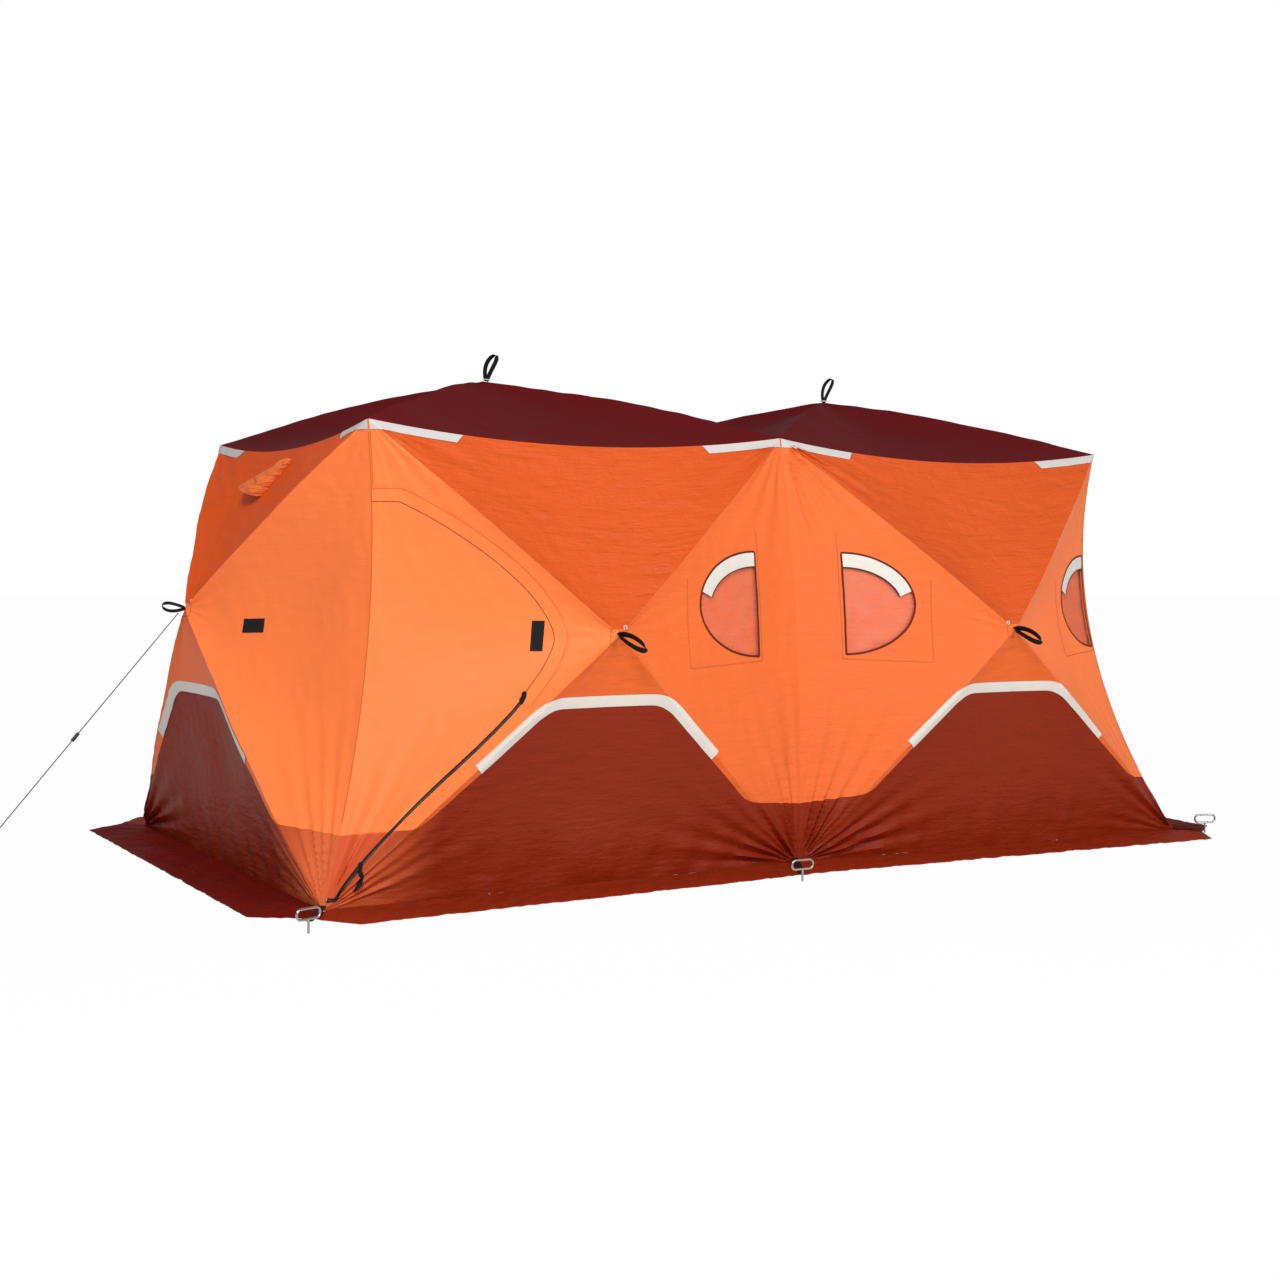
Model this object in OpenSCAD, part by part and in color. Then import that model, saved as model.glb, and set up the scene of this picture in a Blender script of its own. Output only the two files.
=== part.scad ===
// Pop-up ice fishing shelter: two square hub bays under one fabric shell, open to the ice.
// +X runs along the long side, the front wall with the door faces -Y, and +Z is up.
// The origin is the middle of the footprint, on the ice.
// Every panel is drawn for the left bay and the front, and mirrored to the other sides.

/* [Shell] */
// Length and width of one bay at the eaves
bay = 1840; // [1700:10:2000]
// Height of the top corners
eave_h = 1790; // [1700:10:1900]
// Height of the roof hubs
peak_h = 2060; // [2020:10:2200]
// How far the base corners stand out past the top corners, on every side
flare = 285; // [240:5:330]
// Thickness of the quilted fabric
fabric_t = 6; // [5:0.5:8]
// How far a corner seam is drawn in at mid height, in x and in y
corner_pull = 135; // [100:5:150]
// How far the middle of a long eave stands out past the line of the top corners
mid_out = 35; // [20:5:50]
// How far the middle of a long base edge is pulled in from the line of the base corners
mid_in = 85; // [60:5:100]
// How far the middle seam bows out at mid height
mid_bow = 70; // [40:5:90]
// How far an eave sags between its corners
eave_sag = 70; // [40:5:90]
// How far the roof's valley sags between the two bays
valley_sag = 40; // [20:5:60]

/* [Hubs and poles] */
// Height of the hubs of the long walls
side_hub_h = 980; // [940:10:1020]
// How far the hubs of the long walls stand out past the wall's middle plane
side_bulge = 275; // [240:5:300]
// Height of the hubs of the end walls
end_hub_h = 1060; // [1020:10:1100]
// How far the hubs of the end walls stand out past the wall's middle plane
end_bulge = 290; // [250:5:310]
// Diameter of the fibreglass poles
pole_d = 11; // [9:1:13]
// How far a pole bows out between its hub and its corner
pole_bow = 25; // [15:5:35]
// How far the fabric falls back from the poles in the middle of a panel
panel_dish = 45; // [20:5:60]

/* [Door] */
// Height of the top of the door
door_top = 1490; // [1450:10:1520]
// Height of the door's widest point
door_mid = 965; // [940:5:990]
// Gap round the door
door_gap = 8; // [7:1:12]

/* [Windows] */
// Height of a window's centre
window_z = 1092; // [1070:1:1110]
// Height of a window
window_h = 425; // [400:5:440]

/* [Lower panels] */
// Height of the flat top of a lower panel
lower_top = 705; // [690:5:720]
// Height of the band along the foot of each wall
lower_band = 285; // [270:5:300]

/* [Snow skirt] */
// Width of the skirt along the front and back
skirt_side = 250; // [230:5:270]
// Width of the skirt along the ends and round the corners
skirt_end = 265; // [240:5:290]

/* [Anchors] */
// Diameter of the bent anchor wire
wire_d = 9; // [8:1:12]
// Height of an anchor's handle above the ice
handle_h = 85; // [75:5:95]
// Width of an anchor's handle
handle_w = 110; // [90:5:130]
// How far a guy line's anchor stands from its end hub, along the ice
guy_run = 880; // [800:10:950]

/* [Hidden] */
$fn = 32;
eps = 0.001;

half_w = bay / 2;
base_x = bay + flare;
base_y = half_w + flare;
hub_x = (bay + flare / 2) / 2;
hub_y = half_w + flare / 2 + side_bulge;
end_hub_x = bay + flare / 2 + end_bulge;
side_hub = [-hub_x, -hub_y, side_hub_h];
end_hub = [-end_hub_x, 0, end_hub_h];
roof_hub = [-half_w, 0, peak_h];

// Door edges, as shares of the way from a hub (0) to the corner seam (-1)
door_tip = -0.243;
door_edge = -0.99;
// Bow and straight edge of each window, as shares of the way from a hub (0) to a seam
middle_window = [0.455, 0.775];
corner_window = [-0.68, -0.97];
// Width of the closing strips beside an upright edge, as a share
edge_step = 0.003;

// Corner seam and middle seam at height z, for the front left
function pulled(z) = 4 * (z / eave_h) * (1 - z / eave_h);
function corner_seam(z) =
    let(out = flare * (1 - z / eave_h) - corner_pull * pulled(z))
    [-bay - out, -half_w - out, z];
function middle_seam(z) =
    let(t = z / eave_h)
    [0, -(base_y - mid_in) * (1 - t) - (half_w + mid_out) * t - mid_bow * pulled(z), z];
function back(p) = [p.x, -p.y, p.z];

// A wall is [hub, direction out, is it an end wall]
side_wall = [side_hub, [0, -1, 0], false];
end_wall = [end_hub, [-1, 0, 0], true];
function seam(wall, a, z) =
    wall[2] ? (a < 0 ? back(corner_seam(z)) : corner_seam(z))
    : (a < 0 ? corner_seam(z) : middle_seam(z));

// Height z as a share of the way from the hub (0) to the eave (1) or to the foot (-1)
function level(wall, z) =
    let(h = wall[0].z)
    z > h ? (z - h) / (eave_h - h) : (z - h) / (h - fabric_t);
function height(wall, b) =
    let(h = wall[0].z)
    b > 0 ? h + b * (eave_h - h) : h + b * (h - fabric_t);

// Point of the wall's frame straight out from the hub through a, b
function frame_point(wall, a, b) =
    let(m = max(abs(a), abs(b)))
    abs(b) >= abs(a)
        ? let(q = a / m, z = b > 0 ? eave_h : fabric_t)
            seam(wall, -1, z) * (1 - q) / 2 + seam(wall, 1, z) * (1 + q) / 2
            - [0, 0, b > 0 ? eave_sag * (1 - q * q) : 0]
        : seam(wall, a, height(wall, b / m));

// How far the fabric stands out from the straight line between hub and frame
function stand_out(m, q) = 4 * m * (1 - m) * (pole_bow - panel_dish * (1 - q * q));

// Outer face of the wall at a across and height z
function wall_point(wall, a, z) =
    let(b = level(wall, z), m = max(abs(a), abs(b)))
    m < eps ? wall[0]
    : wall[0] + m * (frame_point(wall, a, b) - wall[0])
        + stand_out(m, min(abs(a), abs(b)) / m) * wall[1];

// Direction through the fabric, turned at the seams and eaves so that neighbours meet
function ramp(x) = pow(max(0, (abs(x) - 0.85) / 0.15), 2);
function through(wall, a, z) =
    let(edge = ramp(a), top = ramp(max(0, level(wall, z))))
    wall[2] ? [1, sign(a) * edge, -top]
    : [a < 0 ? edge : 0, 1, -top];

function solid_faces(f) = [for (t = f) if (t[0] != t[1] && t[1] != t[2] && t[0] != t[2]) t];
function quad(p, q, r, s) = [[p, q, r], [p, r, s]];

// Sheet of fabric on a wall. Each column is [a, foot, low, high, top]: fabric from foot to low
// and from high to top, with a hole between where low and high differ. The sheet fills the
// fabric's thickness from depth d0 to d1, with n rows below the hole and n above.
module sheet(wall, cols, n, d0 = 0, d1 = fabric_t) {
    rows = 2 * n + 2;
    last = len(cols) - 1;
    count = rows * (last + 1);
    function z_at(c, k) = k <= n ? c[1] + (c[2] - c[1]) * k / n : c[3] + (c[4] - c[3]) * (k - n - 1) / n;
    function no_low(i) = cols[i][2] - cols[i][1] < eps;
    function no_high(i) = cols[i][4] - cols[i][3] < eps;
    function closed(i) = cols[i][3] - cols[i][2] < eps;
    function id(i, k) =
        k <= n ? i * rows + (no_low(i) ? n : k)
        : k > n + 1 && !no_high(i) ? i * rows + k
        : closed(i) ? id(i, n)
        : i * rows + n + 1;
    function low_strip(i) = !(no_low(i) && no_low(i + 1));
    function open_strip(i) = !(closed(i) && closed(i + 1));
    function down_rim(i, k) =
        quad(id(i, k), id(i + 1, k), id(i + 1, k) + count, id(i, k) + count);
    function up_rim(i, k) =
        quad(id(i, k), id(i, k) + count, id(i + 1, k) + count, id(i + 1, k));
    function end_rim(i, k) =
        i == 0 ? quad(id(i, k + 1), id(i, k), id(i, k) + count, id(i, k + 1) + count)
        : quad(id(i, k), id(i, k + 1), id(i, k + 1) + count, id(i, k) + count);
    cells = [for (k = [0:rows - 2]) if (k != n) k];
    points = [
        for (d = [d0, d1])
            for (c = cols)
                for (k = [0:rows - 1])
                    let(z = z_at(c, k))
                    wall_point(wall, c[0], z) + d * through(wall, c[0], z)
    ];
    outer = [
        for (i = [0:last - 1])
            for (k = cells)
                each quad(id(i, k), id(i, k + 1), id(i + 1, k + 1), id(i + 1, k))
    ];
    inner = [for (f = outer) [f[0] + count, f[2] + count, f[1] + count]];
    rims = [
        for (i = [0:last - 1])
            each concat(
                low_strip(i) ? down_rim(i, 0) : [],
                low_strip(i) && open_strip(i) ? up_rim(i, n) : [],
                open_strip(i) ? down_rim(i, n + 1) : [],
                up_rim(i, rows - 1)
            )
    ];
    ends = [for (i = [0, last]) for (k = cells) each end_rim(i, k)];
    polyhedron(points = points, faces = solid_faces(concat(outer, inner, rims, ends)), convexity = 8);
}

function smooth_min(a, b, k) = min(a, b) - pow(max(k - abs(a - b), 0), 2) / (4 * k);
function smooth_max(a, b, k) = -smooth_min(-a, -b, k);
function steps(a, b, n) = [for (i = [0:n]) a + (b - a) * i / n];
function round_steps(a, b, n) = [for (i = [0:n]) a + (b - a) * sin(90 * i / n)];

// Upper edge of a lower panel: flat round the hub, sloping legs and a low band at the seams
function lower_edge(a) =
    let(leg = lower_top - 934 * (abs(a) - 0.24))
    smooth_min(lower_top, smooth_max(leg, lower_band - 100 * max(0, abs(a) - 0.7), 40), 50);

// Door's upper and lower edges at a, with the share of its width from the seam
function door_share(a) = min(1, max(0, (a + 1) / (door_tip + 1)));
function door_high(a) =
    min(door_top, door_mid + 565 * pow(1 - pow(door_share(a), 1.17), 0.655));
function door_low(a) =
    max(45, door_mid - 1070 * pow(1 - pow(door_share(a), 0.49), 0.62));
gap_share = door_gap / hub_x;
function doorway_high(a) = door_high(a - gap_share) + door_gap * 0.8;
function doorway_low(a) = door_low(a - gap_share) - door_gap * 0.8;
doorway_tip = door_tip + gap_share;

// Where the doorway's lower edge crosses the lower panel's edge
function crossing(a, b, n) =
    n == 0 ? a
    : let(m = (a + b) / 2)
        doorway_low(m) > lower_edge(m) ? crossing(a, m, n - 1) : crossing(m, b, n - 1);
door_cross = crossing(-0.95, -0.6, 20);

// Half height of a window at a, or 0 beside it
function window_half(a, window) =
    let(u = (window[1] - a) / (window[1] - window[0]))
    u < 0 || u > 1 ? 0 : window_h / 2 * sqrt(1 - u * u);
function window_steps(window) =
    concat(
        round_steps(window[1], window[0], 7),
        [window[1] + sign(window[1]) * edge_step]
    );

// Columns shared by all panels of a wall, so that neighbours meet point for point
function sorted(v) =
    len(v) == 0 ? []
    : concat(
        sorted([for (x = v) if (x < v[0]) x]), [v[0]], sorted([for (x = v) if (x > v[0]) x])
    );
side_as = sorted(concat(
    [-1, door_cross], window_steps(corner_window), round_steps(-0.62, doorway_tip, 7),
    [doorway_tip + edge_step, -0.15, -0.08, -0.03, 0, 0.03, 0.1, 0.19, 0.28, 0.37],
    window_steps(middle_window), [0.85, 0.92, 1]
));
end_as = sorted(concat(steps(-1, 1, 20), [-0.03, 0.03]));
function half_as(as, side) = [for (a = as) if (a * side >= 0) a];

// Height of the pole line from a hub to its corners
function pole_line(wall, a) = height(wall, max(abs(a), 0.03));

// Column with no hole, split as near height z as its ends allow
function closed_column(a, low, high, z) =
    let(split = min(max(z, 0.7 * low + 0.3 * high), 0.3 * low + 0.7 * high))
    [a, low, split, split, high];
function plain(as, low, high) = [for (a = as) closed_column(a, low(a), high(a), 0)];

// Turns a front or left piece to the side sx, sy
module place(sx, sy) {
    mirror([sx > 0 ? 1 : 0, 0, 0])
        mirror([0, sy > 0 ? 1 : 0, 0])
            children();
}

module upper_panel(wall, as) {
    eave = function(a) eave_h;
    pole = function(a) pole_line(wall, a);
    sheet(wall, plain(as, pole, eave), 2);
}

module plain_half(wall, as) {
    low = function(a) lower_edge(a);
    pole = function(a) pole_line(wall, a);
    sheet(wall, plain(as, low, pole), 4);
}

// Middle or corner half of a side wall, with its window
module window_half_panel(window) {
    cols = [
        for (a = half_as(side_as, window[1]))
            let(h = window_half(a, window), low = lower_edge(a), high = pole_line(side_wall, a))
            h < eps ? closed_column(a, low, high, window_z)
            : [a, low, window_z - h, window_z + h, high]
    ];
    sheet(side_wall, cols, 4);
}

// Corner half of the front left wall, bent round the doorway
module door_half_panel() {
    cols = [
        for (a = half_as(side_as, -1))
            let(low = lower_edge(a), high = pole_line(side_wall, a))
            a > doorway_tip + eps ? closed_column(a, low, high, door_mid)
            : [a, low, a > door_cross ? doorway_low(a) : low, doorway_high(a), high]
    ];
    sheet(side_wall, cols, 4);
}

module lower_panel(wall, as, low_edge) {
    foot = function(a) fabric_t;
    sheet(wall, plain(as, foot, low_edge), 2);
}

module whole_lower_panel(wall, as) {
    edge = function(a) lower_edge(a);
    lower_panel(wall, as, edge);
}

module front_left_upper_panel() {
    color("chocolate") upper_panel(side_wall, side_as);
}

module front_right_upper_panel() {
    color("chocolate") place(1, -1) upper_panel(side_wall, side_as);
}

module back_left_upper_panel() {
    color("chocolate") place(-1, 1) upper_panel(side_wall, side_as);
}

module back_right_upper_panel() {
    color("chocolate") place(1, 1) upper_panel(side_wall, side_as);
}

module left_end_upper_panel() {
    color("chocolate") upper_panel(end_wall, end_as);
}

module right_end_upper_panel() {
    color("chocolate") place(1, -1) upper_panel(end_wall, end_as);
}

module front_left_corner_panel() {
    color("darkorange") door_half_panel();
}

module front_left_middle_panel() {
    color("darkorange") window_half_panel(middle_window);
}

module front_right_middle_panel() {
    color("darkorange") place(1, -1) window_half_panel(middle_window);
}

module front_right_corner_panel() {
    color("darkorange") place(1, -1) window_half_panel(corner_window);
}

module back_left_corner_panel() {
    color("darkorange") place(-1, 1) window_half_panel(corner_window);
}

module back_left_middle_panel() {
    color("darkorange") place(-1, 1) window_half_panel(middle_window);
}

module back_right_middle_panel() {
    color("darkorange") place(1, 1) window_half_panel(middle_window);
}

module back_right_corner_panel() {
    color("darkorange") place(1, 1) window_half_panel(corner_window);
}

module left_end_front_panel() {
    color("darkorange") plain_half(end_wall, half_as(end_as, 1));
}

module left_end_back_panel() {
    color("darkorange") plain_half(end_wall, half_as(end_as, -1));
}

module right_end_front_panel() {
    color("darkorange") place(1, -1) plain_half(end_wall, half_as(end_as, 1));
}

module right_end_back_panel() {
    color("darkorange") place(1, -1) plain_half(end_wall, half_as(end_as, -1));
}

module front_left_lower_panel() {
    edge = function(a) a < door_cross ? doorway_low(a) : lower_edge(a);
    color("firebrick") lower_panel(side_wall, side_as, edge);
}

module front_right_lower_panel() {
    color("firebrick") place(1, -1) whole_lower_panel(side_wall, side_as);
}

module back_left_lower_panel() {
    color("firebrick") place(-1, 1) whole_lower_panel(side_wall, side_as);
}

module back_right_lower_panel() {
    color("firebrick") place(1, 1) whole_lower_panel(side_wall, side_as);
}

module left_end_lower_panel() {
    color("firebrick") whole_lower_panel(end_wall, end_as);
}

module right_end_lower_panel() {
    color("firebrick") place(1, -1) whole_lower_panel(end_wall, end_as);
}

// Left roof: a ring of points round the hub, from the four eaves in to the hub. Each point
// of the ring is [side, q]: front, valley, back, end, and its place along that side.
function without_last(v) = [for (i = [0:len(v) - 2]) v[i]];
roof_ring = concat(
    [for (a = without_last(side_as)) [0, a]], [for (q = without_last(steps(-1, 1, 12))) [1, q]],
    [for (i = [len(side_as) - 1:-1:1]) [2, -side_as[i]]], [for (a = without_last(end_as)) [3, a]]
);
function roof_edge(side, q) =
    side == 0 ? frame_point(side_wall, q, 1)
    : side == 1 ? let(p = middle_seam(eave_h)) [0, -q * p.y, eave_h - valley_sag * (1 - q * q)]
    : side == 2 ? back(frame_point(side_wall, -q, 1))
    : frame_point(end_wall, q, 1);
function roof_through(side, q) =
    side == 0 ? [q < 0 ? ramp(q) : 0, 1, -1]
    : side == 1 ? [0, -sign(q) * ramp(q), -1]
    : side == 2 ? [q > 0 ? ramp(q) : 0, -1, -1]
    : [1, sign(q) * ramp(q), -1];

module roof_sheet() {
    nm = 5;
    ring = len(roof_ring);
    count = 1 + nm * ring;
    function outer_point(r, m) =
        let(e = roof_edge(r[0], r[1]))
        roof_hub + m * (e - roof_hub) + [0, 0, stand_out(m, abs(r[1]))];
    function inner_point(r, m) =
        let(v = roof_through(r[0], r[1]), f = ramp(m))
        outer_point(r, m) + fabric_t * [v.x * f, v.y * f, -1];
    function id(i, j) = j == 0 ? 0 : 1 + (j - 1) * ring + i % ring;
    points = concat(
        [roof_hub],
        [for (j = [1:nm]) for (r = roof_ring) outer_point(r, j / nm)],
        [roof_hub - [0, 0, fabric_t]],
        [for (j = [1:nm]) for (r = roof_ring) inner_point(r, j / nm)]
    );
    outer = [
        for (j = [0:nm - 1])
            for (i = [0:ring - 1])
                each quad(id(i, j), id(i + 1, j), id(i + 1, j + 1), id(i, j + 1))
    ];
    inner = [for (f = outer) [f[0] + count, f[2] + count, f[1] + count]];
    function forward_rim(i) =
        quad(id(i, nm), id(i + 1, nm), id(i + 1, nm) + count, id(i, nm) + count);
    function back_rim(i) =
        quad(id(i + 1, nm), id(i + 1, nm) + count, id(i, nm) + count, id(i, nm));
    rim = [for (i = [0:ring - 1]) each roof_ring[i][0] == 2 ? back_rim(i) : forward_rim(i)];
    polyhedron(points = points, faces = solid_faces(concat(outer, inner, rim)), convexity = 6);
}

module left_roof() {
    color("maroon") roof_sheet();
}

module right_roof() {
    color("maroon") place(1, -1) roof_sheet();
}

module door() {
    low = function(a) door_low(a);
    high = function(a) door_high(a);
    as = concat([door_edge, -0.95, -0.9], round_steps(-0.85, door_tip, 10));
    color("orange") sheet(side_wall, plain(as, low, high), 4);
}

// Clear pane, a little smaller than its window all round
module window_pane(window) {
    less = 6;
    side = sign(window[1]);
    straight = window[1] - side * less / hub_x;
    bow = window[0] + side * less / hub_x;
    cols = [
        for (i = side > 0 ? [7:-1:0] : [0:7])
            let(
                a = straight + (bow - straight) * sin(90 * i / 7),
                h = (window_h / 2 - less) * cos(90 * i / 7)
            )
            [a, window_z - h, window_z, window_z, window_z + h]
    ];
    sheet(side_wall, cols, 2, fabric_t / 3, fabric_t * 2 / 3);
}

module middle_pane() {
    window_pane(middle_window);
}

module corner_pane() {
    window_pane(corner_window);
}

module front_windows() {
    color("lightblue", 0.4) {
        middle_pane();
        place(1, -1) middle_pane();
        place(1, -1) corner_pane();
    }
}

module back_windows() {
    color("lightblue", 0.4)
        for (sx = [-1, 1])
            place(sx, 1) {
                middle_pane();
                corner_pane();
            }
}

// Hooded sleeve over a vent high on the end wall
module vent_hood() {
    at = wall_point(end_wall, 0, 1600);
    slope = wall_point(end_wall, 0, 1700) - wall_point(end_wall, 0, 1500);
    difference() {
        translate(at + [-50, 0, 10])
            rotate([0, 50, 0])
                difference() {
                    cylinder(h = 90, r = 60, center = true);
                    cylinder(h = 100, r = 55, center = true);
                }
        translate(at)
            rotate([0, atan2(slope.x, slope.z), 0])
                translate([-3, -100, -150])
                    cube([200, 200, 300]);
    }
}

module vent_hoods() {
    color("orangered") {
        vent_hood();
        place(1, -1) vent_hood();
    }
}

// Rod from p to q, bowed towards side by rise
module bowed_rod(p, q, side, rise, d) {
    chord = norm(q - p);
    r = (chord * chord / 4 + rise * rise) / (2 * rise);
    half = asin(chord / 2 / r);
    x = (q - p) / chord;
    z = cross(x, side) / norm(cross(x, side));
    y = cross(z, x);
    m = (p + q) / 2;
    multmatrix([
        [x.x, y.x, z.x, m.x], [x.y, y.y, z.y, m.y], [x.z, y.z, z.z, m.z], [0, 0, 0, 1]
    ])
        translate([0, rise - r, 0])
            rotate([0, 0, 90 - half])
                rotate_extrude(angle = 2 * half)
                    translate([r, 0])
                        circle(d = d);
}

// Straight rod between two points
module rod(p, q, d) {
    v = q - p;
    len = norm(v);
    translate(p)
        rotate([0, acos(v.z / len), atan2(v.y, v.x)])
            cylinder(h = len, d = d);
}

// The poles lie this far behind the outer face of the fabric
pole_in = fabric_t + pole_d / 2 + 15;
// The hubs lie further in, where the fabric has room for them
hub_in = pole_in + 29;
hub_r = 45;

module pole_set(hub, out, tips) {
    for (t = tips)
        bowed_rod(hub + (hub_r + 5) * (t - hub) / norm(t - hub), t, out, pole_bow, pole_d);
}

module side_poles() {
    pole_set(side_hub + [0, hub_in, 0], [0, -1, 0], [
        corner_seam(60) + [75, pole_in + 12, 0], middle_seam(60) + [-45, pole_in + 16, 0],
        middle_seam(eave_h) + [-60, pole_in + 4, -60], corner_seam(eave_h) + [85, pole_in + 4, -70]
    ]);
}

module end_poles_half() {
    pole_set(end_hub + [hub_in, 0, 0], [-1, 0, 0], [
        corner_seam(60) + [pole_in + 22, 75, 0], corner_seam(eave_h) + [pole_in + 12, 85, -70],
        back(corner_seam(60)) + [pole_in + 22, -75, 0],
        back(corner_seam(eave_h)) + [pole_in + 12, -85, -70]
    ]);
}

module roof_poles_half() {
    pole_set(roof_hub - [0, 0, hub_in], [0, 0, 1], [
        corner_seam(eave_h) + [70, 70, -pole_in], back(corner_seam(eave_h)) + [70, -70, -pole_in],
        middle_seam(eave_h) + [-60, 90, -pole_in], back(middle_seam(eave_h)) + [-60, -90, -pole_in]
    ]);
}

module roof_poles() {
    color("dimgray") {
        roof_poles_half();
        place(1, -1) roof_poles_half();
    }
}

module front_poles() {
    color("dimgray") {
        side_poles();
        place(1, -1) side_poles();
    }
}

module back_poles() {
    color("dimgray") {
        place(-1, 1) side_poles();
        place(1, 1) side_poles();
    }
}

module end_poles() {
    color("dimgray") {
        end_poles_half();
        place(1, -1) end_poles_half();
    }
}

// Round hub behind the fabric that takes four poles, its axis along +Z
module hub_body() {
    cylinder(h = 26, r = hub_r, center = true);
}

module hubs() {
    color("black")
        for (sx = [-1, 1]) {
            place(sx, -1) {
                translate(roof_hub - [0, 0, hub_in])
                    hub_body();
                translate(end_hub + [hub_in, 0, 0])
                    rotate([0, 90, 0])
                        hub_body();
            }
            for (sy = [-1, 1])
                place(sx, sy)
                    translate(side_hub + [0, hub_in, 0])
                        rotate([90, 0, 0])
                            hub_body();
        }
}

// Webbing loop that stands along +Z from the fabric
module pull_loop() {
    loop_h = 120;
    r = 18;
    strap = 2.5;
    rotate([90, 0, 0])
        linear_extrude(25, center = true)
            difference() {
                union() {
                    translate([-r, 0])
                        square([2 * r, loop_h - r]);
                    translate([0, loop_h - r])
                        circle(r);
                }
                translate([-r + strap, strap])
                    square([2 * (r - strap), loop_h - r - strap]);
                translate([0, loop_h - r])
                    circle(r - strap);
            }
}

module pull_loops() {
    color("black")
        for (sx = [-1, 1]) {
            place(sx, -1) {
                translate(roof_hub)
                    pull_loop();
                translate(end_hub)
                    rotate([0, -90, 0])
                        pull_loop();
            }
            for (sy = [-1, 1])
                place(sx, sy)
                    translate(side_hub)
                        rotate([90, 0, 0])
                            pull_loop();
        }
}

// Skirt along the left half of the front, from the inner base edge out
module side_skirt() {
    a = corner_seam(0);
    m = middle_seam(0);
    corner = skirt_end / 3;
    linear_extrude(fabric_t)
        polygon([
            [a.x + fabric_t, a.y + fabric_t], [a.x - corner, a.y - corner],
            [a.x + 40, a.y - skirt_end], [a.x + 420, a.y - skirt_side], [0, m.y - skirt_side],
            [0, m.y + fabric_t]
        ]);
}

module end_skirt() {
    a = corner_seam(0);
    corner = skirt_end / 3;
    linear_extrude(fabric_t)
        polygon([
            [a.x + fabric_t, a.y + fabric_t], [a.x - corner, a.y - corner],
            [a.x - skirt_end, a.y + 40], [a.x - skirt_end, -a.y - 40],
            [a.x - corner, -a.y + corner], [a.x + fabric_t, -a.y - fabric_t]
        ]);
}

module long_skirt() {
    side_skirt();
    mirror([1, 0, 0])
        side_skirt();
}

module front_snow_skirt() {
    color("sienna") long_skirt();
}

module back_snow_skirt() {
    color("sienna") place(-1, 1) long_skirt();
}

module left_snow_skirt() {
    color("sienna") end_skirt();
}

module right_snow_skirt() {
    color("sienna") place(1, -1) end_skirt();
}

// Anchor driven into the ice: a shaft, and a flattened loop of the same wire for a handle
module ice_anchor(at, turn) {
    bend = 18;
    straight = handle_w - wire_d - 2 * bend;
    low = handle_h - 2 * bend;
    translate([at.x, at.y, 0])
        rotate([90, 0, turn]) {
            rotate([-90, 0, 0])
                cylinder(h = low, d = wire_d);
            for (y = [low, handle_h])
                translate([0, y, 0])
                    rotate([0, 90, 0])
                        cylinder(h = straight, d = wire_d, center = true);
            for (side = [0, 1])
                mirror([side, 0, 0])
                    translate([straight / 2, low + bend, 0])
                        rotate([0, 0, -90])
                            rotate_extrude(angle = 180)
                                translate([bend, 0])
                                    circle(d = wire_d);
        }
}

// The left corner's anchor stands out past the skirt, the right one close in at the skirt's notch
function corner_anchor(sx) = sx > 0 ? [-2222, -1302, 40] : [-2290, -1520, 40];
middle_anchor = [-230, -1480, 40];
// The back's middle anchor stands as far out as the front's left anchor reaches
back_anchor = [-230, -1537.25, 40];

module ice_anchors() {
    color("silver") {
        for (sx = [-1, 1])
            place(sx, -1) ice_anchor(corner_anchor(sx), 20);
        ice_anchor(middle_anchor, 0);
        place(-1, 1) ice_anchor(back_anchor, 0);
    }
}

// Flat webbing between two points, its width level
webbing_t = 3;
module webbing(p, q, width) {
    v = q - p;
    translate(p)
        rotate([0, acos(v.z / norm(v)), atan2(v.y, v.x)])
            translate([-webbing_t / 2, -width / 2, 0])
                cube([webbing_t, width, norm(v)]);
}

// Strap from the foot of the wall to just short of an anchor's shaft
module anchor_strap(foot, anchor) {
    reach = anchor - foot;
    webbing(foot, anchor - (wire_d / 2 + 3) * reach / norm(reach), 25);
}

module anchor_straps() {
    color("black") {
        for (sx = [-1, 1])
            place(sx, -1) anchor_strap(corner_seam(25) - [10, 10, 0], corner_anchor(sx));
        anchor_strap(middle_seam(25) - [20, 10, 0], middle_anchor);
        place(-1, 1) anchor_strap(middle_seam(25) - [20, 10, 0], back_anchor);
    }
}

// Guy line at each end, from the end hub down to an anchor of its own; the right one runs to the back
guy_back = 250;
guy_top = end_hub + [-28, 0, -21];
function guy_foot(sx) = [-end_hub_x - guy_run, sx > 0 ? guy_back : 0, 30];
function guy_at(sx, far) =
    let(v = guy_foot(sx) - guy_top)
    guy_top + far * v / norm(v);

module guy_straps() {
    color("black")
        for (sx = [-1, 1])
            place(sx, -1) webbing(guy_top, guy_at(sx, 150), 20);
}

module guy_lines() {
    color("black")
        for (sx = [-1, 1])
            place(sx, -1) {
                rod(guy_at(sx, 150), guy_at(sx, 620), 4);
                rod(guy_at(sx, 660), guy_foot(sx), 4);
            }
}

module guy_sliders() {
    color("black")
        for (sx = [-1, 1])
            place(sx, -1) rod(guy_at(sx, 620), guy_at(sx, 660), 14);
}

module guy_anchors() {
    color("silver")
        for (sx = [-1, 1])
            place(sx, -1) ice_anchor([guy_foot(sx).x - 8, guy_foot(sx).y], 90);
}

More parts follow.
